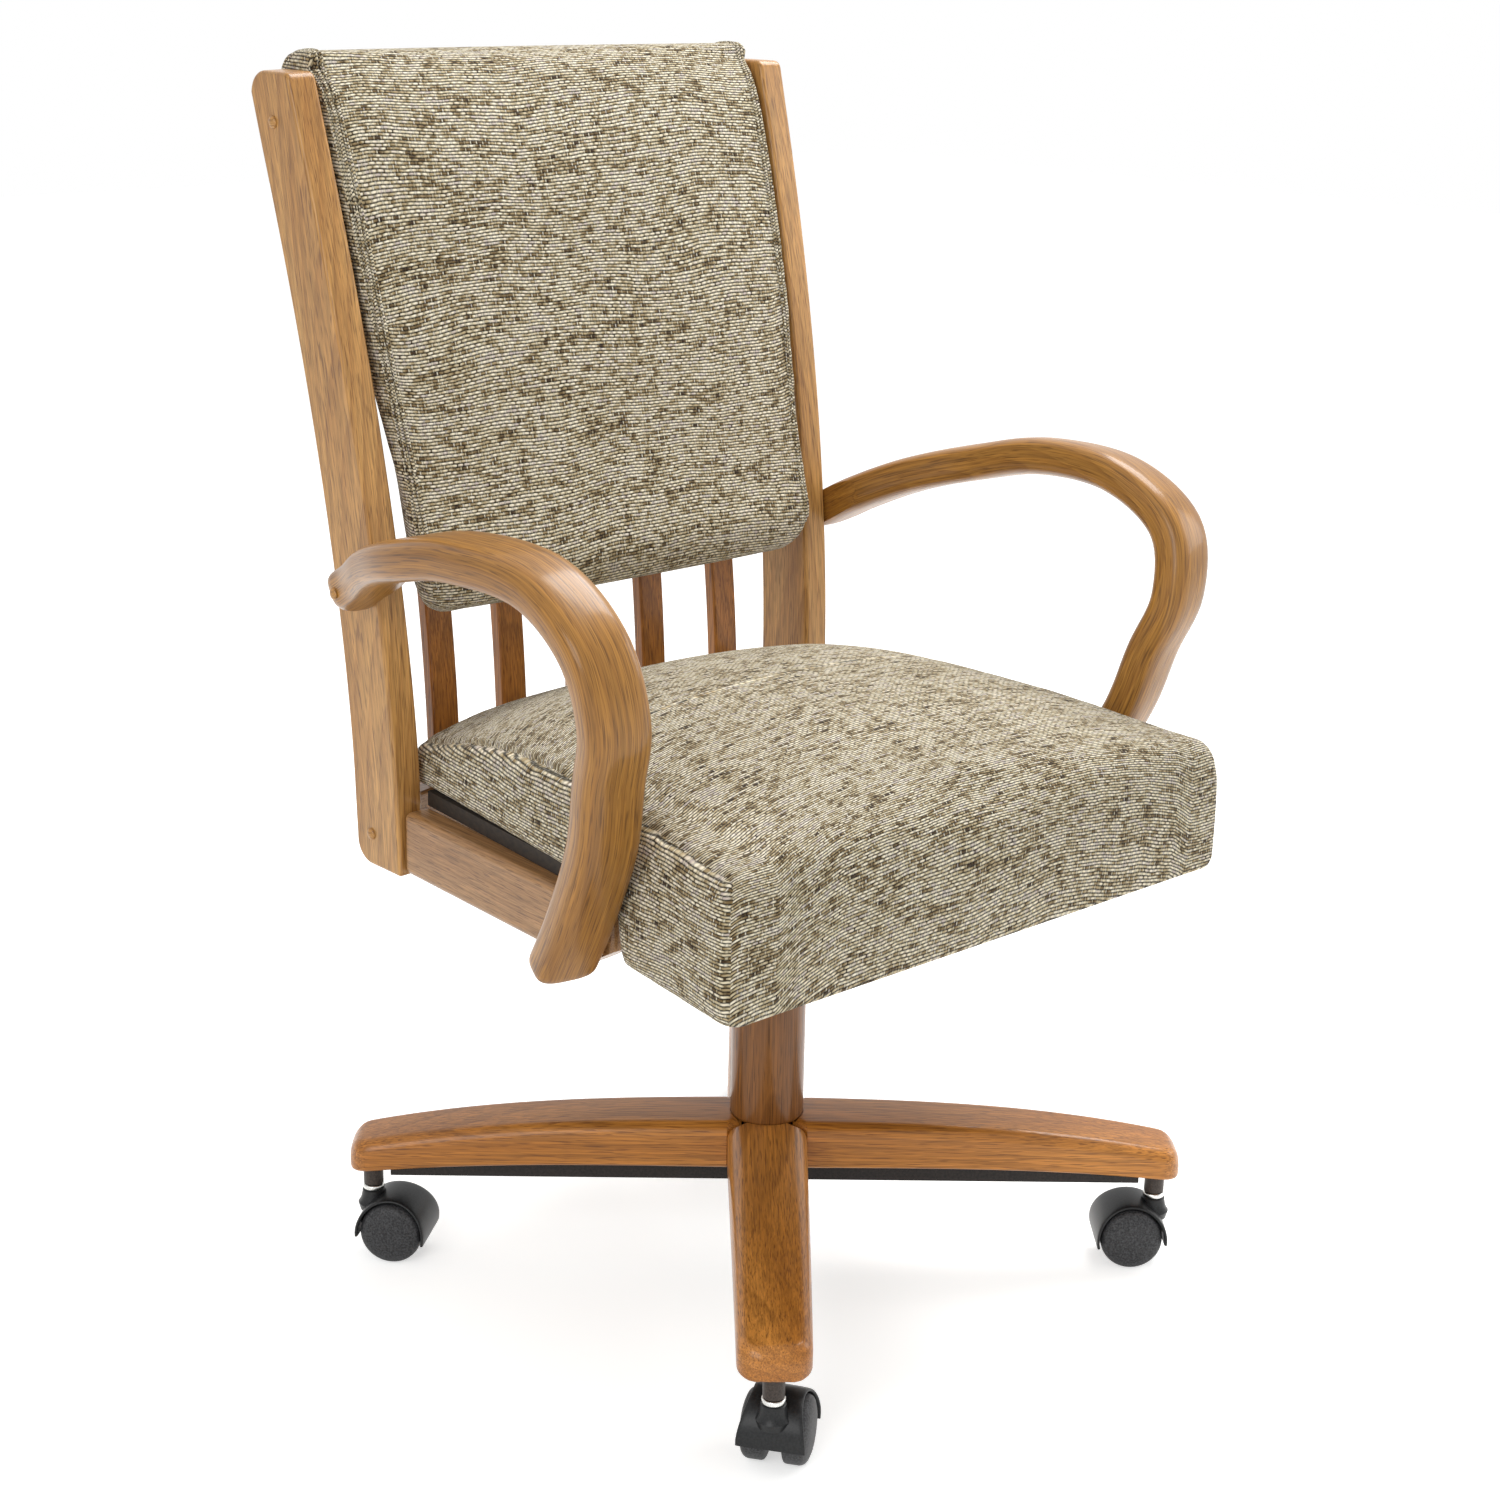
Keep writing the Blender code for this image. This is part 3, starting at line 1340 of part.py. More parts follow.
def arm_mesh(name, sign):
    rings = []
    for s, left, spot, way in smooth_way(ARM_WAY, ARM_STEPS):
        across = (Vector((1, 0, 0)) - way * way.x).normalized()
        up = way.cross(across)
        # The arm leans out a little where it comes down in front.
        lean = ARM_LEAN * min(1.0, max(0.0, (s - 0.16) / 0.1))
        wide = across * math.cos(lean) + up * math.sin(lean)
        high = up * math.cos(lean) - across * math.sin(lean)
        outer = 1.0
        if s < ARM_NOSE:
            outer = 2.0 * math.sqrt(max(0.0, 1.0 - (1.0 - s / ARM_NOSE) ** 2)) - 1.0
        end = round_off(left, ARM_END_ROUND)
        shrink = 1.0 - end / (ARM_WIDTH / 2)
        thin = 1.0 - (end + round_off(s, ARM_NOSE_ROUND) * 0.7) / (ARM_HEIGHT / 2)
        ring = []
        for n in range(ARM_SIDES):
            a = 2 * math.pi * (n + 0.5) / ARM_SIDES
            c, d = math.cos(a), math.sin(a)
            u = math.copysign(abs(c) ** (2 / ARM_SQUARENESS), c)
            v = math.copysign(abs(d) ** (2 / ARM_SQUARENESS), d)
            if outer < 1.0:
                u = -1.0 + (u + 1.0) * (outer + 1.0) / 2.0
            point = spot + wide * (u * shrink * ARM_WIDTH / 2) + high * (v * thin * ARM_HEIGHT / 2)
            ring.append((sign * point.x, point.y, point.z))
        rings.append(ring)
    return loft_mesh(name, rings)


for sign, mark in ((-1, "right"), (1, "left")):
    arm = add_object(f"arm_{mark}", arm_mesh(f"arm_{mark}", sign), "oak")
    set_origin(arm, pivot)
    # Flat seats where the arm lies against the post and the side rail.
    seat_mesh = box_mesh(f"arm_post_seat_{mark}", (-0.06, 0.12, 0.50), (CLEARANCE, 0.32, 0.66))
    if sign < 0:
        seat_mesh.transform(Matrix.Diagonal((-1, 1, 1, 1)))
        seat_mesh.flip_normals()
    seat_mesh.transform(lean_matrix(sign))
    boolean(arm, add_object(f"arm_post_seat_{mark}", seat_mesh))
    foot_mesh = box_mesh(f"arm_rail_seat_{mark}", (-0.05, 0.06, 0.30), (CLEARANCE, rail_run + 0.02, 0.41))
    foot_mesh.transform(Matrix.Rotation(-rail_turn, 4, "Z"))
    foot_mesh.transform(Matrix.Diagonal((1, -1, 1, 1)))
    foot_mesh.flip_normals()
    foot_mesh.transform(Matrix.Translation((RAIL_OUTER_REAR, rail_rear, 0)))
    if sign < 0:
        foot_mesh.transform(Matrix.Diagonal((-1, 1, 1, 1)))
        foot_mesh.flip_normals()
    boolean(arm, add_object(f"arm_rail_seat_{mark}", foot_mesh))
    spot = outer_face(sign, PLUG_ARM_Y, PLUG_ARM_Z, depth=-PLUG_ARM_OUT)
    outward = Vector((sign * math.cos(PLUG_ARM_TURN), math.sin(PLUG_ARM_TURN), 0.0))
    boolean(arm, plug_hole(f"plug_hole_arm_{mark}", spot, outward))
    seat_pieces.append(plug(f"plug_arm_{mark}", spot, outward))



# Empties on the joints' axes carry the pieces that turn about them.
def axis_empty(name, spot, parent=None):
    empty = bpy.data.objects.new(name, None)
    empty.empty_display_size = 0.03
    chair.objects.link(empty)
    empty.location = spot
    if parent is not None:
        carry(parent, [empty])
    return empty


def carry(empty, pieces):
    bpy.context.view_layer.update()
    for ob in pieces:
        ob.parent = empty
        ob.matrix_parent_inverse = empty.matrix_world.inverted()
    bpy.context.view_layer.update()


swivel_axis = axis_empty("swivel_axis", (0, 0, bracket_foot))
carry(swivel_axis, [tilt_bracket, pivot_axle, tension_spring])
tilt_axis = axis_empty("tilt_axis", pivot, swivel_axis)
seat_names = ["seat_plate", "side_rail_left", "side_rail_right", "rear_rail", "seat_board"]
seat_names += ["seat_cushion", "back_post_left", "back_post_right", "top_rail", "back_pad"]
seat_names += ["arm_left", "arm_right"] + [f"slat_{i + 1}" for i in range(5)]
carry(tilt_axis, [chair.objects[name] for name in seat_names] + seat_pieces)
bolt_axis = axis_empty("bolt_axis", (0, BOLT_Y, PIVOT_Z), tilt_axis)
carry(bolt_axis, [tension_bolt, spring_cup, tension_knob])
for k in range(4):
    spot = caster_matrix(k).translation
    stem_axis = axis_empty(f"caster_{k + 1}_stem_axis", spot)
    carry(stem_axis, [chair.objects[f"caster_{k + 1}_{piece}"] for piece in ("stem", "hood", "axle")])
    centre = caster_matrix(k) @ Vector((0, CASTER_TRAIL, axle_z))
    wheel_axis = axis_empty(f"caster_{k + 1}_wheel_axis", centre, stem_axis)
    carry(wheel_axis, [chair.objects[f"caster_{k + 1}_wheel_{mark}"] for mark in "ab"])

stand = axis_empty("stand", (0, COLUMN_Y, 0))
for ob in list(chair.objects) + list(cutters.objects):
    if ob.parent is None and ob != stand:
        ob.parent = stand
bpy.context.view_layer.update()
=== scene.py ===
import math

import bmesh
import bpy
import numpy as np
from mathutils import Matrix, Vector
from mathutils.bvhtree import BVHTree
from mathutils.kdtree import KDTree


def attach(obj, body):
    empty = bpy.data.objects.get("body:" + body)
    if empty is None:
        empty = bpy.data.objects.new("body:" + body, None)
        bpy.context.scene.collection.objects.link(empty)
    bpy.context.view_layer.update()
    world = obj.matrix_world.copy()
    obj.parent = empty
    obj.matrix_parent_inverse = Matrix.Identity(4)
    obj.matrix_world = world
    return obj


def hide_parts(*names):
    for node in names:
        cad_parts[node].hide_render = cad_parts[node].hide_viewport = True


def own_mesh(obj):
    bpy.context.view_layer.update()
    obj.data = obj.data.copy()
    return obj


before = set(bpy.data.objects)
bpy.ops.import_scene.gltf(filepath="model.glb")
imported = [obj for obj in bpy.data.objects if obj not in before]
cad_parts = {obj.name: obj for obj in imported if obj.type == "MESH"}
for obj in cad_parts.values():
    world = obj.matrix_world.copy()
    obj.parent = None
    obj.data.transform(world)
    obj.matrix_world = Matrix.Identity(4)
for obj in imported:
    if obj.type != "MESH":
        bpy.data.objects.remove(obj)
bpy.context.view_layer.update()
print("frame loaded:", len(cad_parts), "solids")

# The chair is drawn round its column, which stands this far in front of the origin.
columnY = -0.0428
touch = 0.0003  # gap left between pieces that touch

camera = {
    "place": (-1.30125, -1.40402 + columnY, 1.0393),
    "yaw": 42.25,
    "pitch": 17.57,
    "roll": 1.14,
    "lens": 62.275,
}

light = {
    "world": 0.58,
    "top": (1.1, 0.2, 2.5),
    "topSize": 1.3,
    "topWatts": 52.0,
    "front": (-2.9, -1.3, 1.9),
    "frontSize": 1.8,
    "frontWatts": 36.0,
    "side": (2.6, -1.2, 1.5),
    "sideSize": 1.4,
    "sideWatts": 18.0,
    "floorGlow": 0.52,
}


# sRGB hex to a linear colour with alpha
def hexLinear(text):
    out = []
    for i in (0, 2, 4):
        c = int(text[i:i + 2], 16) / 255
        out.append(c / 12.92 if c <= 0.04045 else ((c + 0.055) / 1.055) ** 2.4)
    return (*out, 1.0)


# stops are (place, hex colour or grey level) along a colour ramp
def addNode(tree, kind, inputs=None, stops=(), **settings):
    node = tree.nodes.new(kind)
    for key, value in settings.items():
        setattr(node, key, value)
    for key, value in (inputs or {}).items():
        if isinstance(value, bpy.types.Node):
            value = value.outputs[0]
        if isinstance(value, bpy.types.NodeSocket):
            tree.links.new(value, node.inputs[key])
        else:
            node.inputs[key].default_value = value
    for n, (place, value) in enumerate(stops):
        if n >= len(node.color_ramp.elements):
            node.color_ramp.elements.new(place)
        node.color_ramp.elements[n].position = place
        level = hexLinear(value) if isinstance(value, str) else (value, value, value, 1.0)
        node.color_ramp.elements[n].color = level
    return node


def newMaterial(name):
    mat = bpy.data.materials.new(name)
    mat.use_nodes = True
    tree = mat.node_tree
    return mat, tree, tree.nodes["Principled BSDF"]


# Red oak, stained honey brown and sprayed with clear lacquer: long straight grain with
# dark open pores, and a smooth clear coat that mirrors the lamps.
oakLook = {
    "ringMm": 7.0,      # growth ring width as sawn
    "ringWander": 2.6,
    "fibreMm": 1.4,     # fibres and pores are finer in real oak, drawn coarse enough to show
    "poreMm": 0.9,
    "ringShare": 0.42,  # how much darker the late wood is
    "poreShare": 0.62,
    "fibreTones": ((0.34, 0.66), (0.66, 1.16)),
    "coat": 0.34,
    "coatRoughness": 0.16,
}


def lacqueredOak(name, light, mid, dark, pore):
    mat, tree, shader = newMaterial(name)
    grain = addNode(tree, "ShaderNodeAttribute", attribute_name="grain", attribute_type="GEOMETRY")
    point = grain.outputs["Vector"]
    # slow wander of the rings along the board
    slow = addNode(tree, "ShaderNodeVectorMath", {0: point, 1: (2.3, 15.0, 15.0)}, operation="MULTIPLY")
    wander = addNode(
        tree, "ShaderNodeTexNoise", {"Vector": slow, "Scale": 1.0, "Detail": 2.0, "Roughness": 0.5},
    )
    # distance from a tree centre outside the board gives the ring number
    flat = addNode(tree, "ShaderNodeVectorMath", {0: point, 1: (0.12, 1.0, 1.0)}, operation="MULTIPLY")
    off = addNode(tree, "ShaderNodeVectorMath", {0: flat, 1: (0.0, 0.052, 0.071)}, operation="ADD")
    reach = addNode(tree, "ShaderNodeVectorMath", {0: off}, operation="LENGTH")
    rings = addNode(
        tree, "ShaderNodeMath", {0: reach.outputs["Value"], 1: 1000.0 / oakLook["ringMm"]},
        operation="MULTIPLY",
    )
    phase = addNode(
        tree, "ShaderNodeMath", {0: wander.outputs[0], 1: oakLook["ringWander"], 2: rings},
        operation="MULTIPLY_ADD",
    )
    part = addNode(tree, "ShaderNodeMath", {0: phase}, operation="FRACT")
    ring = addNode(
        tree, "ShaderNodeValToRGB", {"Fac": part},
        stops=[(0.0, 0.05), (0.45, 0.25), (0.80, 0.75), (0.93, 1.0), (1.0, 0.1)],
    )
    # fibres: long thin streaks
    fibreScale = 1000.0 / oakLook["fibreMm"]
    thin = addNode(
        tree, "ShaderNodeVectorMath", {0: point, 1: (9.0, fibreScale, fibreScale)}, operation="MULTIPLY",
    )
    fibre = addNode(
        tree, "ShaderNodeTexNoise", {"Vector": thin, "Scale": 1.0, "Detail": 3.0, "Roughness": 0.62},
    )
    # pores: short dark dashes gathered in the early wood
    poreScale = 1000.0 / oakLook["poreMm"]
    dash = addNode(
        tree, "ShaderNodeVectorMath", {0: point, 1: (42.0, poreScale, poreScale)}, operation="MULTIPLY",
    )
    poreNoise = addNode(
        tree, "ShaderNodeTexNoise", {"Vector": dash, "Scale": 1.0, "Detail": 1.0, "Roughness": 0.5},
    )
    poreSpot = addNode(
        tree, "ShaderNodeValToRGB", {"Fac": poreNoise.outputs[0]},
        stops=[(0.0, 0.0), (0.56, 0.0), (0.68, 1.0)],
    )
    broad = addNode(tree, "ShaderNodeVectorMath", {0: point, 1: (3.4, 26.0, 26.0)}, operation="MULTIPLY")
    patch = addNode(
        tree, "ShaderNodeTexNoise", {"Vector": broad, "Scale": 1.0, "Detail": 2.0, "Roughness": 0.5},
    )
    patchRamp = addNode(
        tree, "ShaderNodeValToRGB", {"Fac": patch.outputs[0]}, stops=[(0.35, light), (0.65, mid)],
    )
    ringShare = addNode(
        tree, "ShaderNodeMath", {0: ring.outputs[0], 1: oakLook["ringShare"]}, operation="MULTIPLY"
    )
    # the colour sockets of a mix node are inputs 6 and 7 and output 2
    ringed = addNode(
        tree, "ShaderNodeMix", {0: ringShare, 6: patchRamp, 7: hexLinear(dark)}, data_type="RGBA",
    )
    fibreRamp = addNode(tree, "ShaderNodeValToRGB", {"Fac": fibre.outputs[0]}, stops=oakLook["fibreTones"])
    streaked = addNode(
        tree, "ShaderNodeMix", {0: 1.0, 6: ringed.outputs[2], 7: fibreRamp},
        data_type="RGBA", blend_type="MULTIPLY",
    )
    poreShare = addNode(
        tree, "ShaderNodeMath", {0: poreSpot.outputs[0], 1: oakLook["poreShare"]}, operation="MULTIPLY"
    )
    pored = addNode(
        tree, "ShaderNodeMix", {0: poreShare, 6: streaked.outputs[2], 7: hexLinear(pore)}, data_type="RGBA",
    )
    tree.links.new(pored.outputs[2], shader.inputs["Base Color"])
    rough = addNode(tree, "ShaderNodeMapRange", {"Value": fibre.outputs[0], "To Min": 0.46, "To Max": 0.34})
    tree.links.new(rough.outputs[0], shader.inputs["Roughness"])
    height = addNode(
        tree, "ShaderNodeMath", {0: fibre.outputs[0], 1: poreSpot.outputs[0]}, operation="SUBTRACT",
    )
    bump = addNode(tree, "ShaderNodeBump", {"Height": height, "Strength": 0.10, "Distance": 0.0004})
    tree.links.new(bump.outputs[0], shader.inputs["Normal"])
    shader.inputs["IOR"].default_value = 1.5
    shader.inputs["Specular IOR Level"].default_value = 0.26
    shader.inputs["Coat Weight"].default_value = oakLook["coat"]
    shader.inputs["Coat Roughness"].default_value = oakLook["coatRoughness"]
    return mat


postOak = lacqueredOak("oak_stained_lacquered_posts", "cb9a5a", "b27f42", "8d5a28", "5a3617")
# painted shade: the arms' oak is drawn a little darker than the posts' so that their front and lower faces
# read as shaded
armOakShaded = lacqueredOak("oak_bent_lacquered_arms_painted_shade", "b07c37", "996727", "774919", "4f2f11")
# painted light: the legs' oak is drawn brighter and more orange than the posts' to make up for light the legs
# lack under the seat
legOakLit = lacqueredOak("oak_stained_lacquered_legs_painted_light", "cf893c", "b5722b", "8c541a", "5b310f")
# painted shade: the slats' oak, also used for the top rail, is drawn darker than the posts' for the shade
# behind the back pad and arms
slatOakShaded = lacqueredOak("oak_stained_lacquered_slats_painted_shade", "c07e3b", "a66829", "7f4d1a", "533010")
# painted shade: the column's oak is drawn much darker than the posts' for the shadow beneath the seat
columnOakShaded = lacqueredOak("oak_turned_lacquered_column_painted_shade", "94602c", "804f20", "623914", "42260c")
railOak = lacqueredOak("oak_stained_lacquered_rails", "b58a5c", "9f7244", "7c5229", "55351b")

# Chenille tweed, plain woven with slub yarns: cream and tan wefts broken by dark brown
# flecks, paler warps between, no shine, and painted shade darkening the hollows where the yarns cross.
tweedLook = {
    "rowMm": 2.5,     # weft spacing
    "warpMm": 2.9,    # warp spacing
    "slubMm": 13.0,   # length of one colour along a yarn
    "patchMm": 30.0,  # flecks gather in patches this wide
    "drawnMm": 9.0,   # how far the rows were pulled out of line when the cloth was fitted
    "weftRise": (0.28, 0.76),   # height of a yarn where it crosses over, and between
    "warpRise": (-0.34, 0.30),
    "depthMm": 1.1,
}


def tweedFabric(name):
    mat, tree, shader = newMaterial(name)
    weave = addNode(tree, "ShaderNodeAttribute", attribute_name="weave", attribute_type="GEOMETRY")
    point = weave.outputs["Vector"]
    drawnNoise = addNode(tree, "ShaderNodeTexNoise", {"Vector": point, "Scale": 0.0065, "Detail": 1.0})
    drawn = addNode(
        tree, "ShaderNodeVectorMath",
        {0: drawnNoise.outputs["Color"], 1: (4.0, tweedLook["drawnMm"] * 2.5, 0.0), 2: point},
        operation="MULTIPLY_ADD",
    )
    wobbleNoise = addNode(tree, "ShaderNodeTexNoise", {"Vector": point, "Scale": 0.055, "Detail": 2.0})
    wobble = addNode(
        tree, "ShaderNodeVectorMath",
        {0: wobbleNoise.outputs["Color"], 1: (2.2, 2.2, 0.0), 2: drawn}, operation="MULTIPLY_ADD",
    )
    split = addNode(tree, "ShaderNodeSeparateXYZ", {0: wobble})
    u = addNode(
        tree, "ShaderNodeMath", {0: split.outputs[0], 1: 1.0 / tweedLook["warpMm"]}, operation="MULTIPLY",
    )
    v = addNode(
        tree, "ShaderNodeMath", {0: split.outputs[1], 1: 1.0 / tweedLook["rowMm"]}, operation="MULTIPLY",
    )
    warpNumber = addNode(tree, "ShaderNodeMath", {0: u}, operation="FLOOR")
    rowNumber = addNode(tree, "ShaderNodeMath", {0: v}, operation="FLOOR")
    # +1 where the weft lies on top, -1 where the warp does
    turnU = addNode(tree, "ShaderNodeMath", {0: u, 1: math.pi}, operation="MULTIPLY")
    turnV = addNode(tree, "ShaderNodeMath", {0: v, 1: math.pi}, operation="MULTIPLY")
    sinU = addNode(tree, "ShaderNodeMath", {0: turnU}, operation="SINE")
    sinV = addNode(tree, "ShaderNodeMath", {0: turnV}, operation="SINE")
    over = addNode(tree, "ShaderNodeMath", {0: sinU, 1: sinV}, operation="MULTIPLY")
    roundV = addNode(tree, "ShaderNodeMath", {0: sinV}, operation="ABSOLUTE")
    roundU = addNode(tree, "ShaderNodeMath", {0: sinU}, operation="ABSOLUTE")
    (weftSwing, weftMean), (warpSwing, warpMean) = tweedLook["weftRise"], tweedLook["warpRise"]
    weftUp = addNode(tree, "ShaderNodeMath", {0: over, 1: weftSwing, 2: weftMean}, operation="MULTIPLY_ADD")
    warpUp = addNode(tree, "ShaderNodeMath", {0: over, 1: warpSwing, 2: warpMean}, operation="MULTIPLY_ADD")
    weftHigh = addNode(tree, "ShaderNodeMath", {0: roundV, 1: weftUp}, operation="MULTIPLY")
    warpHigh = addNode(tree, "ShaderNodeMath", {0: roundU, 1: warpUp}, operation="MULTIPLY")
    high = addNode(tree, "ShaderNodeMath", {0: weftHigh, 1: warpHigh}, operation="MAXIMUM")
    warpShows = addNode(tree, "ShaderNodeMath", {0: warpHigh, 1: weftHigh}, operation="GREATER_THAN")
    # colour runs along each yarn and jumps from yarn to yarn
    along = 1.0 / tweedLook["slubMm"]
    weftU = addNode(tree, "ShaderNodeMath", {0: split.outputs[0], 1: along}, operation="MULTIPLY")
    weftV = addNode(tree, "ShaderNodeMath", {0: rowNumber, 1: 7.31}, operation="MULTIPLY")
    weftPlace = addNode(tree, "ShaderNodeCombineXYZ", {0: weftU, 1: weftV, 2: split.outputs[2]})
    weftNoise = addNode(
        tree, "ShaderNodeTexNoise", {"Vector": weftPlace, "Scale": 1.0, "Detail": 1.5, "Roughness": 0.6},
    )
    warpU = addNode(tree, "ShaderNodeMath", {0: warpNumber, 1: 5.17}, operation="MULTIPLY")
    warpV = addNode(tree, "ShaderNodeMath", {0: split.outputs[1], 1: along * 0.9}, operation="MULTIPLY")
    warpPlace = addNode(tree, "ShaderNodeCombineXYZ", {0: warpU, 1: warpV, 2: split.outputs[2]})
    warpNoise = addNode(
        tree, "ShaderNodeTexNoise", {"Vector": warpPlace, "Scale": 1.0, "Detail": 2.5, "Roughness": 0.7},
    )
    patchSpot = addNode(
        tree, "ShaderNodeVectorMath",
        {0: point, 1: (0.7 / tweedLook["patchMm"], 1.8 / tweedLook["patchMm"], 1.0)}, operation="MULTIPLY",
    )
    patch = addNode(
        tree, "ShaderNodeTexNoise", {"Vector": patchSpot, "Scale": 1.0, "Detail": 2.0, "Roughness": 0.6},
    )
    lean = addNode(tree, "ShaderNodeMath", {0: patch.outputs[0], 1: -0.5}, operation="ADD")
    weftTone = addNode(
        tree, "ShaderNodeMath", {0: lean, 1: 0.30, 2: weftNoise.outputs[0]}, operation="MULTIPLY_ADD",
    )
    warpTone = addNode(
        tree, "ShaderNodeMath", {0: lean, 1: 0.25, 2: warpNoise.outputs[0]}, operation="MULTIPLY_ADD",
    )
    weftRamp = addNode(
        tree, "ShaderNodeValToRGB", {"Fac": weftTone},
        stops=[(0.27, "3f3020"), (0.36, "7d6846"), (0.43, "b09d78"), (0.50, "d6c9aa"), (0.57, "eee4cc"),
               (0.63, "d8ccb8"), (0.68, "b8aaa2"), (0.75, "efe6d4")],
    )
    warpRamp = addNode(
        tree, "ShaderNodeValToRGB", {"Fac": warpTone},
        stops=[
            (0.34, "4a3a26"), (0.41, "8f7d5c"), (0.46, "c9bb98"), (0.53, "eee4c9"), (0.60, "faf3df"),
            (0.68, "c6bbb4")
        ],
    )
    yarn = addNode(tree, "ShaderNodeMix", {0: warpShows, 6: weftRamp, 7: warpRamp}, data_type="RGBA")
    # painted shade: the colour is darkened in the hollows between yarns, and lifted a little on the crests as
    # painted highlight
    hollowShadePaint = addNode(
        tree, "ShaderNodeValToRGB", {"Fac": high},
        stops=[(0.20, 0.07), (0.40, 0.34), (0.62, 0.90), (0.88, 1.12)],
    )
    yarnShadePaint = addNode(
        tree, "ShaderNodeMix", {0: 1.0, 6: yarn.outputs[2], 7: hollowShadePaint},
        data_type="RGBA", blend_type="MULTIPLY",
    )
    tree.links.new(yarnShadePaint.outputs[2], shader.inputs["Base Color"])
    fuzzSpot = addNode(tree, "ShaderNodeVectorMath", {0: point, 1: (1.3, 1.3, 1.0)}, operation="MULTIPLY")
    fuzz = addNode(tree, "ShaderNodeTexNoise", {"Vector": fuzzSpot, "Scale": 1.0, "Detail": 2.0})
    lift = addNode(tree, "ShaderNodeMath", {0: fuzz.outputs[0], 1: 0.35, 2: high}, operation="MULTIPLY_ADD")
    bump = addNode(
        tree, "ShaderNodeBump", {"Height": lift, "Strength": 0.7, "Distance": tweedLook["depthMm"] / 1000},
    )
    tree.links.new(bump.outputs[0], shader.inputs["Normal"])
    shader.inputs["Roughness"].default_value = 0.92
    shader.inputs["Specular IOR Level"].default_value = 0.15
    shader.inputs["Sheen Weight"].default_value = 0.12
    shader.inputs["Sheen Roughness"].default_value = 0.5
    return mat


tweed = tweedFabric("chenille_tweed_woven")


# a finish with a fine even grain, for moulded plastic, powder coat and plated steel
def speckled(name, base, spread, grainMm, roughness, metallic=0.0, bumpMm=0.1, coat=0.0):
    mat, tree, shader = newMaterial(name)
    where = addNode(tree, "ShaderNodeTexCoord")
    fine = addNode(
        tree, "ShaderNodeTexNoise",
        {"Vector": where.outputs["Object"], "Scale": 1000.0 / grainMm, "Detail": 2.0, "Roughness": 0.6},
    )
    tone = addNode(tree, "ShaderNodeValToRGB", {"Fac": fine.outputs[0]}, stops=[(0.32, base), (0.68, spread)])
    tree.links.new(tone.outputs[0], shader.inputs["Base Color"])
    rough = addNode(
        tree, "ShaderNodeMapRange",
        {"Value": fine.outputs[0], "To Min": roughness - 0.06, "To Max": roughness + 0.06},
    )
    tree.links.new(rough.outputs[0], shader.inputs["Roughness"])
    bump = addNode(
        tree, "ShaderNodeBump", {"Height": fine.outputs[0], "Strength": 0.35, "Distance": bumpMm / 1000},
    )
    tree.links.new(bump.outputs[0], shader.inputs["Normal"])
    shader.inputs["Metallic"].default_value = metallic
    shader.inputs["Specular IOR Level"].default_value = 0.5 if metallic else 0.3
    shader.inputs["Coat Weight"].default_value = coat
    return mat


# Glass-filled nylon, moulded with a spark-eroded grain: charcoal with pale specks, dull.
casterNylon = speckled("nylon_moulded_grained_black", "151516", "4a4a4c", 1.5, 0.5, bumpMm=0.25)
# Hood and knob nylon is smoother: a soft shine along its edges.
hoodNylon = speckled("nylon_moulded_satin_black", "141516", "262728", 1.6, 0.36, bumpMm=0.12)
# Mild steel with baked powder coat: near black, a fine orange peel that dulls the shine.
powderSteel = speckled("steel_powder_coated_black", "171311", "2c2623", 1.8, 0.5, bumpMm=0.2)
# Socket steel, blackened: brown black, slightly shiny.
socketSteel = speckled("steel_blackened", "2f2824", "4a4039", 1.4, 0.4, bumpMm=0.05)
# Steel, bright zinc plated: pale silver with a faint grain.
zincSteel = speckled("steel_zinc_plated", "c9c9c6", "ebebe8", 1.2, 0.24, metallic=1.0, bumpMm=0.02)


# Birch plywood board, drawn matt dark brown black with faint long grain as painted shade for the shaded gap
# between the cushion and the side rails.
def plywoodBoard(name):
    mat, tree, shader = newMaterial(name)
    where = addNode(tree, "ShaderNodeTexCoord")
    long = addNode(
        tree, "ShaderNodeVectorMath", {0: where.outputs["Object"], 1: (9.0, 170.0, 300.0)},
        operation="MULTIPLY",
    )
    grain = addNode(tree, "ShaderNodeTexNoise", {"Vector": long, "Scale": 1.0, "Detail": 3.0})
    tone = addNode(
        tree, "ShaderNodeValToRGB", {"Fac": grain.outputs[0]}, stops=[(0.3, "1d1712"), (0.7, "33291f")],
    )
    tree.links.new(tone.outputs[0], shader.inputs["Base Color"])
    bump = addNode(tree, "ShaderNodeBump", {"Height": grain.outputs[0], "Strength": 0.2, "Distance": 0.0003})
    tree.links.new(bump.outputs[0], shader.inputs["Normal"])
    shader.inputs["Roughness"].default_value = 0.72
    return mat


# painted shade: the board is dark to stand for the shaded gap above the side rails
shadePly = plywoodBoard("birch_plywood_dark_painted_shade")
print("materials made")


def meshFrom(bm, name):
    bmesh.ops.recalc_face_normals(bm, faces=bm.faces)
    mesh = bpy.data.meshes.new(name)
    bm.to_mesh(mesh)
    bm.free()
    return mesh


# skin over rings of equal count, closed by a face at each end
def loft(name, rings):
    bm = bmesh.new()
    rows = [[bm.verts.new(p) for p in ring] for ring in rings]
    count = len(rows[0])
    for a, b in zip(rows, rows[1:]):
        for i in range(count):
            j = (i + 1) % count
            bm.faces.new((a[i], a[j], b[j], b[i]))
    bm.faces.new(list(reversed(rows[0])))
    bm.faces.new(rows[-1])
    return meshFrom(bm, name)


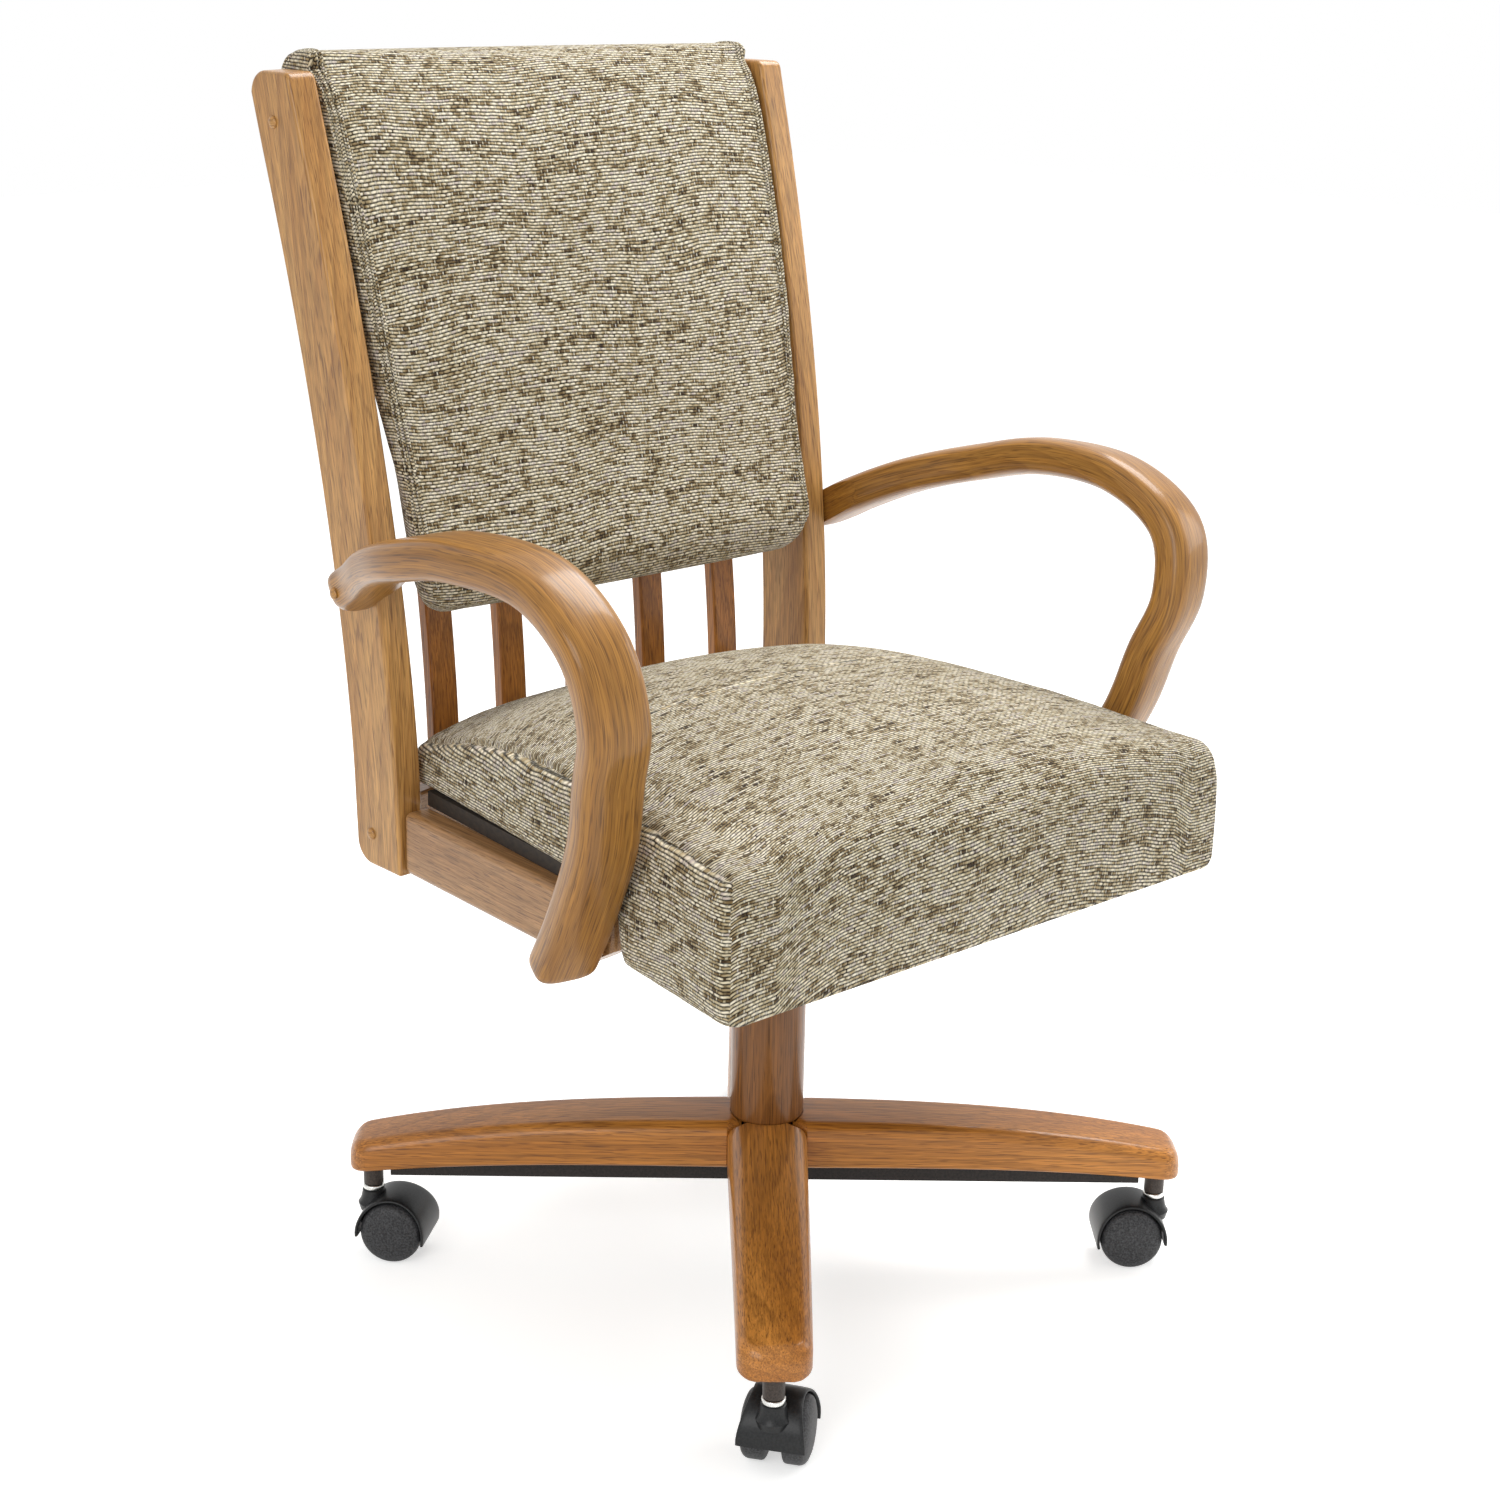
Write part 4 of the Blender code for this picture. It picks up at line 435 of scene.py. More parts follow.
# a profile of (radius, height) turned round Z; closed joins its last point to its first
def lathe(name, profile, steps=64, closed=False):
    bm = bmesh.new()
    rows = []
    for r, z in profile:
        if r < 1e-6:
            rows.append([bm.verts.new((0, 0, z))])
            continue
        turns = [2 * math.pi * i / steps for i in range(steps)]
        rows.append([bm.verts.new((r * math.cos(a), r * math.sin(a), z)) for a in turns])
    pairs = list(zip(rows, rows[1:])) + ([(rows[-1], rows[0])] if closed else [])
    for a, b in pairs:
        for i in range(steps):
            j = (i + 1) % steps
            if len(a) == 1:
                bm.faces.new((a[0], b[j], b[i]))
            elif len(b) == 1:
                bm.faces.new((a[i], a[j], b[0]))
            else:
                bm.faces.new((a[i], a[j], b[j], b[i]))
    return meshFrom(bm, name)


# a flat outline in XY, half of its thickness to each side along Z, its sharp edges rounded
def board(name, outline, half, edge=0.0, segments=4, angle=50.0):
    bm = bmesh.new()
    low = [bm.verts.new((x, y, -half)) for x, y in outline]
    high = [bm.verts.new((x, y, half)) for x, y in outline]
    bm.faces.new(list(reversed(low)))
    bm.faces.new(high)
    for i in range(len(outline)):
        j = (i + 1) % len(outline)
        bm.faces.new((low[i], low[j], high[j], high[i]))
    bmesh.ops.recalc_face_normals(bm, faces=bm.faces)
    return roundEdges(bm, name, edge, segments, angle)


def roundEdges(bm, name, edge, segments, angle):
    if edge > 0:
        limit = math.radians(angle)
        sharp = [e for e in bm.edges if len(e.link_faces) == 2 and e.calc_face_angle() > limit]
        bmesh.ops.bevel(bm, geom=sharp, offset=edge, segments=segments, profile=0.5, affect="EDGES")
    return meshFrom(bm, name)


def boxMesh(name, low, high):
    bm = bmesh.new()
    low, high = Vector(low), Vector(high)
    place = Matrix.Translation((low + high) / 2) @ Matrix.Diagonal((*(high - low), 1.0))
    bmesh.ops.create_cube(bm, size=1.0, matrix=place)
    return meshFrom(bm, name)


def rodMesh(name, radius, start, end, sides=32):
    start, end = Vector(start), Vector(end)
    turn = (end - start).to_track_quat("Z", "Y").to_matrix().to_4x4()
    place = Matrix.Translation((start + end) / 2) @ turn
    bm = bmesh.new()
    bmesh.ops.create_cone(
        bm, cap_ends=True, segments=sides, radius1=radius, radius2=radius,
        depth=(end - start).length, matrix=place,
    )
    return meshFrom(bm, name)


# result of one Boolean or other modifier, as a new mesh
def modified(mesh, kind, **settings):
    ob = bpy.data.objects.new("work", mesh)
    bpy.context.scene.collection.objects.link(ob)
    mod = ob.modifiers.new("work", kind)
    for key, value in settings.items():
        setattr(mod, key, value)
    bpy.context.view_layer.update()
    result = bpy.data.meshes.new_from_object(ob.evaluated_get(bpy.context.evaluated_depsgraph_get()))
    bpy.data.objects.remove(ob, do_unlink=True)
    return result


def joined(mesh, other, operation="DIFFERENCE"):
    tool = bpy.data.objects.new("tool", other)
    bpy.context.scene.collection.objects.link(tool)
    result = modified(mesh, "BOOLEAN", object=tool, solver="EXACT", operation=operation)
    bpy.data.objects.remove(tool, do_unlink=True)
    return result


def placed(mesh, matrix):
    mesh.transform(matrix)
    if matrix.determinant() < 0:
        mesh.flip_normals()
    return mesh


def vertexPlaces(mesh):
    spots = np.empty(len(mesh.vertices) * 3, dtype=np.float32)
    mesh.vertices.foreach_get("co", spots)
    return spots.reshape(-1, 3).astype(np.float64)


# stores where each vertex lies in the log, so that the grain runs along the piece;
# axes gives the columns along, across and across, or a function of the places does
def giveGrain(mesh, axes, offset=(0.0, 0.0, 0.0)):
    spots = vertexPlaces(mesh)
    log = axes(spots) if callable(axes) else spots[:, list(axes)]
    log = log + np.array(offset)
    layer = mesh.attributes.new("grain", "FLOAT_VECTOR", "POINT")
    layer.data.foreach_set("vector", log.astype(np.float32).ravel())
    return mesh


# flat faces keep flat shading beside their rounded edges
def addPiece(name, mesh, body, material, nodes=(), sharp=35.0, even=False):
    mesh.transform(Matrix.Translation((0, columnY, 0)))
    mesh.shade_smooth()
    mesh.set_sharp_from_angle(angle=math.radians(sharp))
    mesh.materials.clear()
    mesh.materials.append(material)
    piece = bpy.data.objects.new(name, mesh)
    bpy.context.scene.collection.objects.link(piece)
    if even:
        mod = piece.modifiers.new("normals", "WEIGHTED_NORMAL")
        mod.keep_sharp = True
        mod.weight = 80
    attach(piece, body)
    if nodes:
        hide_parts(*nodes)
    return piece


# points of an arc round a corner, angles in degrees
def arc(cx, cy, radius, start, end, steps):
    turns = [math.radians(start + (end - start) * i / steps) for i in range(steps + 1)]
    return [(cx + radius * math.cos(a), cy + radius * math.sin(a)) for a in turns]


# how far a rounded corner of this radius falls back, this far from its end
def fallBack(distance, radius):
    if distance >= radius:
        return 0.0
    return radius - math.sqrt(max(0.0, radius ** 2 - (radius - distance) ** 2))


legs = {
    "turn": 3.9,          # degrees that the legs stand off the seat's diagonals
    "reach": 0.3355,
    "top": 0.1287,
    "topDrop": 0.0250,
    "under": 0.0913,
    "underDrop": 0.0115,
    "halfHub": 0.0322,
    "halfTip": 0.0265,
    "edge": 0.0110,
    "footEdge": 0.0030,
    "tipRound": 0.0165,
    "noseRound": 0.0115,
    "start": 0.0207,
    "tipStart": 0.303,
    "casterCircle": 0.3187,
    "socketRadius": 0.0080,
    "socketTop": 0.0980,
    "sleeveSeat": 0.0025,
}


def legUnder(s):
    return legs["under"] - legs["underDrop"] * (s / legs["reach"]) ** 3.5


def legRing(s):
    tip = legs["reach"] - s
    share = s / legs["reach"]
    half = legs["halfHub"] + (legs["halfTip"] - legs["halfHub"]) * share
    half = min(half, s - touch * 1.5) - fallBack(tip, legs["tipRound"])
    top = legs["top"] - legs["topDrop"] * share ** 2.9 - fallBack(tip, legs["noseRound"])
    under = legUnder(s) + fallBack(tip, legs["footEdge"])
    edge = min(legs["edge"], half * 0.6)
    foot = min(legs["footEdge"], half * 0.2)
    right = arc(half - foot, under + foot, foot, -90, 0, 3)
    right += arc(half - edge, top - edge, edge, 0, 90, 9)
    return [(s, t, z) for t, z in right] + [(s, -t, z) for t, z in reversed(right)]


def legTurn(k):
    return math.radians(legs["turn"] + 45.0 + 90.0 * k)


legPlaces = [legs["start"] + (legs["halfHub"] - legs["start"]) * n / 4 for n in range(5)]
legPlaces += [legs["halfHub"] + (legs["tipStart"] - legs["halfHub"]) * n / 24 for n in range(1, 25)]
tipRings = (0.027, 0.022, 0.018, 0.014, 0.0105, 0.0075, 0.005, 0.003, 0.0015, 0.0005, 0.00005)
legPlaces += [legs["reach"] - d for d in tipRings]
sleeve = {"radius": 0.0295, "bore": 0.0198, "edge": 0.0040, "top": 0.2920}
legShape = loft("leg", [legRing(s) for s in legPlaces])
sleeveFoot = legs["top"] - legs["sleeveSeat"]
sleeveSeat = rodMesh("seat", sleeve["radius"] + touch, (0, 0, sleeveFoot - touch), (0, 0, 0.16), sides=96)
legShape = joined(legShape, sleeveSeat)
socketEnds = [(legs["casterCircle"], 0, z) for z in (0.04, legs["socketTop"] + touch)]
legShape = joined(legShape, rodMesh("hole", legs["socketRadius"] + touch, *socketEnds))
for k in range(4):
    shape = giveGrain(legShape.copy(), (0, 1, 2), (0.37 * k, 0.011 * k, 0.017 * k + 0.02))
    addPiece(
        f"legFine_{k + 1}", placed(shape, Matrix.Rotation(legTurn(k), 4, "Z")), "base", legOakLit,
        [f"leg_{k + 1}"],
    )

sleeveShape = lathe(
    "sleeve",
    [(sleeve["bore"], sleeve["top"])]
    + arc(sleeve["radius"] - 0.002, sleeve["top"] - 0.002, 0.002, 90, 0, 4)
    + arc(sleeve["radius"] - sleeve["edge"], sleeveFoot + sleeve["edge"], sleeve["edge"], 0, -90, 8)
    + [(sleeve["bore"], sleeveFoot)],
    steps=96,
    closed=True,
)
giveGrain(sleeveShape, (2, 0, 1), (0.2, 0.03, 0.05))
addPiece("columnSleeveFine", sleeveShape, "base", columnOakShaded, ["column_sleeve"])
print("base drawn")

wheelRadius = 0.0252
casters = {
    "turns": (8.0, -10.0, -14.0, 0.0),  # degrees each fork stands round from pointing inwards
    "trail": 0.0190,
    "axleHigh": wheelRadius * math.cos(math.pi / 20),  # the solid wheel's 20 flats meet the floor
    "axleHole": 0.0033,
    "tread": wheelRadius,
    "hoodInside": 0.0264,
    "hoodOutside": 0.0288,
    "hoodTopHalf": 0.0190,
    "hoodBulge": 0.0062,
    "webHalf": 0.0065,
    "stemRadius": 0.0055,
    "shankRadius": 0.0040,
    "stemEnd": 0.0350,
    "ringRadius": 0.0087,
    "ringTop": 0.0597,
    "ringHigh": 0.0042,
    "neckRadius": 0.0092,
}


def casterPlace(k):
    spot = Vector((math.cos(legTurn(k)), math.sin(legTurn(k)), 0.0)) * legs["casterCircle"]
    turn = Matrix.Rotation(legTurn(k) + math.pi / 2 + math.radians(casters["turns"][k]), 4, "Z")
    return Matrix.Translation(spot) @ turn


# one section across the hood: outer skin slightly crowned, rounded lips, inner skin
def hoodRing(turn):
    high = max(0.0, math.sin(math.radians(turn)))
    half = casters["hoodTopHalf"] + casters["hoodBulge"] * (1.0 - high ** 1.5)
    outer, inner = casters["hoodOutside"], casters["hoodInside"]
    lip = (outer - inner) / 2 * 0.92
    mid = (outer + inner) / 2
    section = [(half * f, outer + 0.0009 * (1 - f * f) * high) for f in (0.0, 0.35, 0.65, 0.85)]
    section += arc(half - lip, mid, lip, 80, -80, 6)
    section += [(half * f, inner) for f in (0.85, 0.5, 0.0)]
    section = section + [(-x, r) for x, r in reversed(section[1:-1])]
    c, d = math.cos(math.radians(turn)), math.sin(math.radians(turn))
    return [(x, casters["trail"] + r * c, casters["axleHigh"] + r * d) for x, r in section]


hoodTurns = [-13.5, -12.5] + [-11 + 194 * n / 40 for n in range(41)] + [184.5, 185.5]
hoodShape = loft("hood", [hoodRing(t) for t in hoodTurns])
webReach = (casters["hoodInside"] + casters["hoodOutside"]) / 2
webLine = arc(casters["trail"], casters["axleHigh"], webReach, 178, 2, 28)
webLine += [
    (casters["trail"] + 0.012, casters["axleHigh"] - 0.012),
    (casters["trail"] - 0.012, casters["axleHigh"] - 0.012),
]
# lays an outline drawn in XY into YZ, so that its thickness is along X
toSide = Matrix(((0, 0, 1, 0), (1, 0, 0, 0), (0, 1, 0, 0), (0, 0, 0, 1)))
webShape = placed(board("web", webLine, casters["webHalf"], 0.0012, 2), toSide)
hoodShape = joined(hoodShape, webShape, "UNION")
neckTop = casters["ringTop"] - casters["ringHigh"] - touch
neck = casters["neckRadius"]
neckFlare = [
    (neck + 0.0006 + 0.003 * t ** 2.4, neckTop - 0.003 - 0.009 * t) for t in (0.25, 0.5, 0.75, 1.0)
]
neckShape = lathe(
    "neck",
    [(0.0, neckTop), (neck - 0.0008, neckTop), (neck, neckTop - 0.0008), (neck + 0.0002, neckTop - 0.003)]
    + neckFlare
    + [(neck + 0.002, neckTop - 0.018), (0.0, neckTop - 0.021)],
    steps=48,
)
hoodShape = joined(hoodShape, neckShape, "UNION")
for sign in (1, -1):
    room = rodMesh(
        "room", casters["tread"] + touch * 2,
        (sign * (casters["webHalf"] + touch / 2), casters["trail"], casters["axleHigh"]),
        (sign * 0.0345, casters["trail"], casters["axleHigh"]), sides=96,
    )
    hoodShape = joined(hoodShape, room)
shankHole = rodMesh("shank", casters["shankRadius"] + touch, (0, 0, casters["stemEnd"] - touch), (0, 0, 0.07))
hoodShape = joined(hoodShape, shankHole)
axleEnds = [(x, casters["trail"], casters["axleHigh"]) for x in (-0.03, 0.03)]
hoodShape = joined(hoodShape, rodMesh("axle", casters["axleHole"], *axleEnds))

stemTop = legs["socketTop"] - 0.002 - touch
ringTop, ringLow = casters["ringTop"], casters["ringTop"] - casters["ringHigh"]
stemShape = lathe(
    "stem",
    [(0.0, stemTop), (casters["stemRadius"] - 0.001, stemTop), (casters["stemRadius"], stemTop - 0.001)]
    + [(casters["stemRadius"], ringTop)]
    + arc(casters["ringRadius"] - 0.0012, ringTop - 0.0012, 0.0012, 90, 0, 3)
    + arc(casters["ringRadius"] - 0.0012, ringLow + 0.0012, 0.0012, 0, -90, 3)
    + [
        (casters["shankRadius"], ringLow), (casters["shankRadius"], casters["stemEnd"]),
        (0.0, casters["stemEnd"])
    ],
    steps=48,
)
socketShape = lathe(
    "socket",
    [(0.0, legs["socketTop"]), (legs["socketRadius"], legs["socketTop"]), (legs["socketRadius"], 0.0608)]
    + [
        (legs["socketRadius"] - 0.0008, 0.0600), (0.0058, 0.0600), (0.0058, legs["socketTop"] - 0.002),
        (0.0, legs["socketTop"] - 0.002)
    ],
    steps=40,
)
# the wheel turns about its own Z: closed domed face, stepped rim, rounded tread
wheelShape = lathe(
    "wheel",
    [(0.0, 0.0257), (0.0040, 0.0257), (0.0100, 0.0255), (0.0180, 0.0246), (0.0222, 0.0231)]
    + [(0.0239, 0.0217), (0.0248, 0.0201), (wheelRadius, 0.0183), (wheelRadius, 0.0090), (0.0247, 0.0078)]
    + [(0.0236, 0.0071), (casters["axleHole"], 0.0071), (casters["axleHole"], 0.0225), (0.0, 0.0225)],
    steps=72,
)
for k in range(4):
    body = f"caster_{k + 1}"
    place = casterPlace(k)
    addPiece(
        f"hoodFine_{k + 1}", placed(hoodShape.copy(), place), body, hoodNylon, [f"{body}_hood"],
    )
    addPiece(f"stemFine_{k + 1}", placed(stemShape.copy(), place), body, zincSteel, [f"{body}_stem"])
    addPiece(
        f"socketFine_{k + 1}", placed(socketShape.copy(), place), "base", socketSteel, [f"{body}_socket"],
    )
    centre = Matrix.Translation((0, casters["trail"], casters["axleHigh"]))
    for mark, sign in (("a", 1), ("b", -1)):
        side = Matrix.Rotation(sign * math.pi / 2, 4, "Y")
        wheel = placed(wheelShape.copy(), place @ centre @ side)
        addPiece(
            f"wheelFine_{k + 1}{mark}", wheel, f"wheel_{k + 1}{mark}", casterNylon,
            [f"{body}_wheel_{mark}"],
        )
print("casters drawn")

# round tube along a line of points, with flat ends
def tube(name, points, radius, sides=12):
    points = [Vector(p) for p in points]
    last = len(points) - 1
    ways = [(points[min(i + 1, last)] - points[max(i - 1, 0)]).normalized() for i in range(last + 1)]
    side = ways[0].orthogonal().normalized()
    rings = []
    for spot, way in zip(points, ways):
        side = (side - way * side.dot(way)).normalized()
        other = way.cross(side)
        turns = [2 * math.pi * i / sides for i in range(sides)]
        rings.append([spot + radius * (side * math.cos(a) + other * math.sin(a)) for a in turns])
    return loft(name, rings)


tilt = {
    "boltY": -0.0480,
    "springRadius": 0.0100,
    "springWire": 0.0015,
    "springCurls": 4,
    "springTop": 0.3163,
    "springLow": 0.2833,
    "knobTop": 0.2787,
    "knobHigh": 0.0265,
    "knobRadius": 0.0160,
    "knobGrips": 12,
}
springPoints = []
springRise = tilt["springTop"] - tilt["springLow"] - 2 * tilt["springWire"]
for i in range(tilt["springCurls"] * 40 + 1):
    a = 2 * math.pi * i / 40
    high = tilt["springLow"] + tilt["springWire"] + springRise * i / (tilt["springCurls"] * 40)
    springPoints.append((
        tilt["springRadius"] * math.cos(a), tilt["boltY"] + tilt["springRadius"] * math.sin(a), high,
    ))
springShape = tube("spring", springPoints, tilt["springWire"])
spring = addPiece("springFine", springShape, "swivel", zincSteel, ["tension_spring"])
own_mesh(spring)


# knob with finger grips pressed into its rim
def knobRing(z, radius, grip):
    ring = []
    for i in range(96):
        a = 2 * math.pi * i / 96
        r = radius - grip * (0.5 + 0.5 * math.cos(tilt["knobGrips"] * a)) ** 2
        ring.append((r * math.cos(a), tilt["boltY"] + r * math.sin(a), z))
    return ring


knobTop, knobLow = tilt["knobTop"], tilt["knobTop"] - tilt["knobHigh"]
# each row is radius, height and how deep the grips are there
knobRows = [
    (0.0118, knobTop, 0.0), (0.0130, knobTop - 0.0006, 0.0), (0.0146, knobTop - 0.002, 0.0007),
    (0.0158, knobTop - 0.0048, 0.0014), (tilt["knobRadius"], knobTop - 0.009, 0.0017),
    (tilt["knobRadius"], knobLow + 0.008, 0.0017), (0.0158, knobLow + 0.004, 0.0014),
    (0.0148, knobLow + 0.0014, 0.0008), (0.0130, knobLow + 0.0003, 0.0), (0.0118, knobLow, 0.0),
]
knobShape = loft("knob", [knobRing(z, radius, grip) for radius, z, grip in knobRows])
knobShape = joined(
    knobShape, rodMesh("bore", 0.0053, (0, tilt["boltY"], 0.2557), (0, tilt["boltY"], knobTop + 0.01))
)
addPiece("knobFine", knobShape, "knob", hoodNylon, ["tension_knob"])

# pan head screws that hold the seat plate up against the board
screwShape = lathe(
    "screw",
    [
        (0.0, -0.0030), (0.0016, -0.0030), (0.0018, -0.0026), (0.0026, -0.0026), (0.0040, -0.0018),
        (0.0046, -0.0004)
    ]
    + [(0.0046, 0.0), (0.0, 0.0)],
    steps=28,
)
for x, side in ((-0.074, "right"), (0.074, "left")):
    for y, place in ((-0.083, "front"), (0.020, "middle"), (0.123, "rear")):
        spot = Matrix.Translation((x, y, 0.3778))
        addPiece(f"plateScrew_{side}_{place}", placed(screwShape.copy(), spot), "seat", zincSteel, ())
print("tilt mechanism drawn")

seatFrame = {
    "outerRear": 0.2225,
    "outerFront": 0.2350,
    "front": -0.0900,
    "thick": 0.0250,
    "under": 0.3310,
    "top": 0.3820,
    "edge": 0.0060,
    "notchLong": 0.0380,
    "notchHigh": 0.0220,
    "crossThick": 0.0260,
    "crossEdge": 0.0030,
    "lowBow": 0.0120,
    "highBow": 0.0060,
    "topUnder": 0.8620,
    "topTop": 0.9250,
}
posts = {
    "front": 0.1825,
    "bendStart": 0.4000,
    "bend": 0.2787,
    "bendPower": 1.717,
    "deep": 0.0585,
    "thick": 0.0245,
    "foot": 0.3280,
    "top": 0.9325,
    "outerFoot": 0.2261,
    "outerTop": 0.2452,
    "heel": 0.0180,
    "head": 0.0190,
    "brow": 0.0080,
    "edge": 0.0032,
}
slats = {"spacing": 0.0745, "wide": 0.0250, "thick": 0.0120, "setBack": 0.0530, "edge": 0.0024}
railRear = posts["front"] - touch


def postOuter(z):
    share = (z - posts["foot"]) / (posts["top"] - posts["foot"])
    return posts["outerFoot"] + (posts["outerTop"] - posts["outerFoot"]) * share


def postInner(z):
    return postOuter(z) - posts["thick"]


def postFront(z):
    return posts["front"] + posts["bend"] * max(0.0, z - posts["bendStart"]) ** posts["bendPower"]


def postFronts(heights):
    above = np.maximum(0.0, heights - posts["bendStart"])
    return posts["front"] + posts["bend"] * above ** posts["bendPower"]


def postOutline():
    foot, top = posts["foot"], posts["top"]
    rear = posts["front"] + posts["deep"]
    points = [(posts["front"], foot)]
    points += arc(rear - posts["heel"], foot + posts["heel"], posts["heel"], -90, 0, 14)
    heights = [0.37 + 0.505 * n / 40 for n in range(41)]
    points += [(postFront(z) + posts["deep"], z) for z in heights]
    headY = postFront(top) + posts["deep"] - 0.006
    points += arc(headY - posts["head"], top - posts["head"], posts["head"], 8, 90, 12)
    browY = postFront(top - posts["brow"])
    points += arc(browY + posts["brow"], top - posts["brow"], posts["brow"], 95, 165, 8)
    points += [(postFront(z), z) for z in reversed(heights)]
    return points


postLean = math.atan2(posts["outerTop"] - posts["outerFoot"], posts["top"] - posts["foot"])


# puts local X = 0 on a post's outer face, leaning with it
def leanPlace(sign):
    return (
        Matrix.Translation((sign * posts["outerFoot"], 0, posts["foot"]))
        @ Matrix.Rotation(sign * postLean, 4, "Y")
        @ Matrix.Translation((0, 0, -posts["foot"]))
    )


plugs = {
    "radius": 0.0048,
    "dome": 0.0026,
    "shank": 0.0034,
    "shankLong": 0.0060,
    "top": (0.2990, 0.8960),
    "foot": (0.2190, 0.3550),
    "arm": (0.1850, 0.5655),
    "armOut": 0.0433,
    "armTurn": math.radians(9.0),
}
domeTurns = [math.radians(d) for d in (14, 28, 42, 56, 70, 81)]
plugShape = lathe(
    "plug",
    [(0.0, plugs["dome"])]
    + [(plugs["radius"] * math.sin(a), plugs["dome"] * math.cos(a)) for a in domeTurns]
    + [
        (plugs["radius"], 0.0), (plugs["shank"], 0.0), (plugs["shank"], -plugs["shankLong"]),
        (0.0, -plugs["shankLong"])
    ],
    steps=32,
)


def plugHole(spot, way):
    return rodMesh(
        "hole", plugs["shank"] + touch, spot - way * (plugs["shankLong"] + touch), spot + way * 0.01, 24
    )


def setPlug(name, node, spot, way):
    turn = way.to_track_quat("Z", "Y").to_matrix().to_4x4()
    shape = giveGrain(plugShape.copy(), (0, 1, 2), (0.1, 0.02, 0.04))
    addPiece(
        name, placed(shape, Matrix.Translation(spot + way * touch) @ turn), "seat", postOak, [node],
    )


for sign, mark in ((-1, "right"), (1, "left")):
    shape = placed(board("post", postOutline(), posts["thick"] / 2, posts["edge"], 4), toSide)
    shape.transform(leanPlace(sign) @ Matrix.Translation((-sign * posts["thick"] / 2, 0, 0)))
    outward = (leanPlace(sign).to_3x3() @ Vector((sign, 0, 0))).normalized()
    for level in ("top", "foot"):
        spot = leanPlace(sign) @ Vector((0, *plugs[level]))
        shape = joined(shape, plugHole(spot, outward))
        setPlug(f"plugFine_{level}_{mark}", f"plug_{level}_{mark}", spot, outward)

    def postLog(spots, sign=sign):
        return np.stack([spots[:, 2], spots[:, 0], spots[:, 1] - 0.8 * postFronts(spots[:, 2])], axis=1)

    giveGrain(shape, postLog, (0.6 * sign + 1.0, 0.05, 0.03 * sign))
    addPiece(f"postFine_{mark}", shape, "seat", postOak, [f"back_post_{mark}"], even=True)

slatLow = seatFrame["top"] + touch
slatHigh = seatFrame["topUnder"] - touch


def bowed(x, deep):
    return deep * (x / (2 * slats["spacing"])) ** 2


def slatFront(x, z):
    share = (z - slatLow) / (slatHigh - slatLow)
    deep = seatFrame["lowBow"] + (seatFrame["highBow"] - seatFrame["lowBow"]) * share
    return postFront(z) + slats["setBack"] - bowed(x, deep)


for i in range(5):
    x = (i - 2) * slats["spacing"]
    heights = [slatLow + (slatHigh - slatLow) * n / 30 for n in range(31)]
    side = [(slatFront(x, z) + slats["thick"], z) for z in heights]
    side += [(slatFront(x, z), z) for z in reversed(heights)]
    shape = placed(board("slat", side, slats["wide"] / 2, slats["edge"], 3), toSide)
    shape.transform(Matrix.Translation((x, 0, 0)))
    giveGrain(shape, (2, 0, 1), (0.3 * i, 0.013 * i, 0.02 * i))
    addPiece(f"slatFine_{i + 1}", shape, "seat", slatOakShaded, [f"slat_{i + 1}"], even=True)

for sign, mark in ((-1, "right"), (1, "left")):
    line = [
        (sign * seatFrame["outerRear"], railRear),
        (sign * seatFrame["outerFront"], seatFrame["front"]),
        (sign * (seatFrame["outerFront"] - seatFrame["thick"]), seatFrame["front"]),
        (sign * (seatFrame["outerRear"] - seatFrame["thick"]), railRear),
    ]
    shape = board("rail", line, (seatFrame["top"] - seatFrame["under"]) / 2, seatFrame["edge"], 5)
    shape.transform(Matrix.Translation((0, 0, (seatFrame["top"] + seatFrame["under"]) / 2)))
    # the front end slopes up underneath, out of sight behind the skirt
    low, front = seatFrame["under"] - 0.001, seatFrame["front"]
    wedge = [(front + seatFrame["notchLong"], low), (front, seatFrame["under"] + seatFrame["notchHigh"])]
    wedge += [(front - 0.01, seatFrame["under"] + seatFrame["notchHigh"]), (front - 0.01, low)]
    shape = joined(shape, placed(board("wedge", wedge, 0.3), toSide))
    giveGrain(shape, (1, 0, 2), (0.4, 0.1 * sign, 0.05))
    addPiece(f"sideRailFine_{mark}", shape, "seat", railOak, [f"side_rail_{mark}"], even=True)


def crossRail(name, node, half, front, deep, low, high, material):
    places = [half * (n / 14 - 1) for n in range(29)]
    line = [(x, front - bowed(x, deep)) for x in places]
    line += [(x, front + seatFrame["crossThick"] - bowed(x, deep)) for x in reversed(places)]
    shape = board(name, line, (high - low) / 2, seatFrame["crossEdge"], 3)
    shape.transform(Matrix.Translation((0, 0, (high + low) / 2)))
    giveGrain(shape, (0, 1, 2), (0.2, 0.07, low))
    addPiece(name, shape, "seat", material, [node], even=True)


lowRailFront = slatFront(0, slatLow) - 0.0050
highRailFront = slatFront(0, slatHigh) - 0.0050
crossRail(
    "rearRailFine", "rear_rail", postInner(seatFrame["under"]) - touch, lowRailFront,
    seatFrame["lowBow"], seatFrame["under"], seatFrame["top"], railOak,
)
crossRail(
    "topRailFine", "top_rail", postInner(seatFrame["topUnder"]) - touch, highRailFront,
    seatFrame["highBow"], seatFrame["topUnder"], seatFrame["topTop"], slatOakShaded,
)
print("seat frame and back drawn")

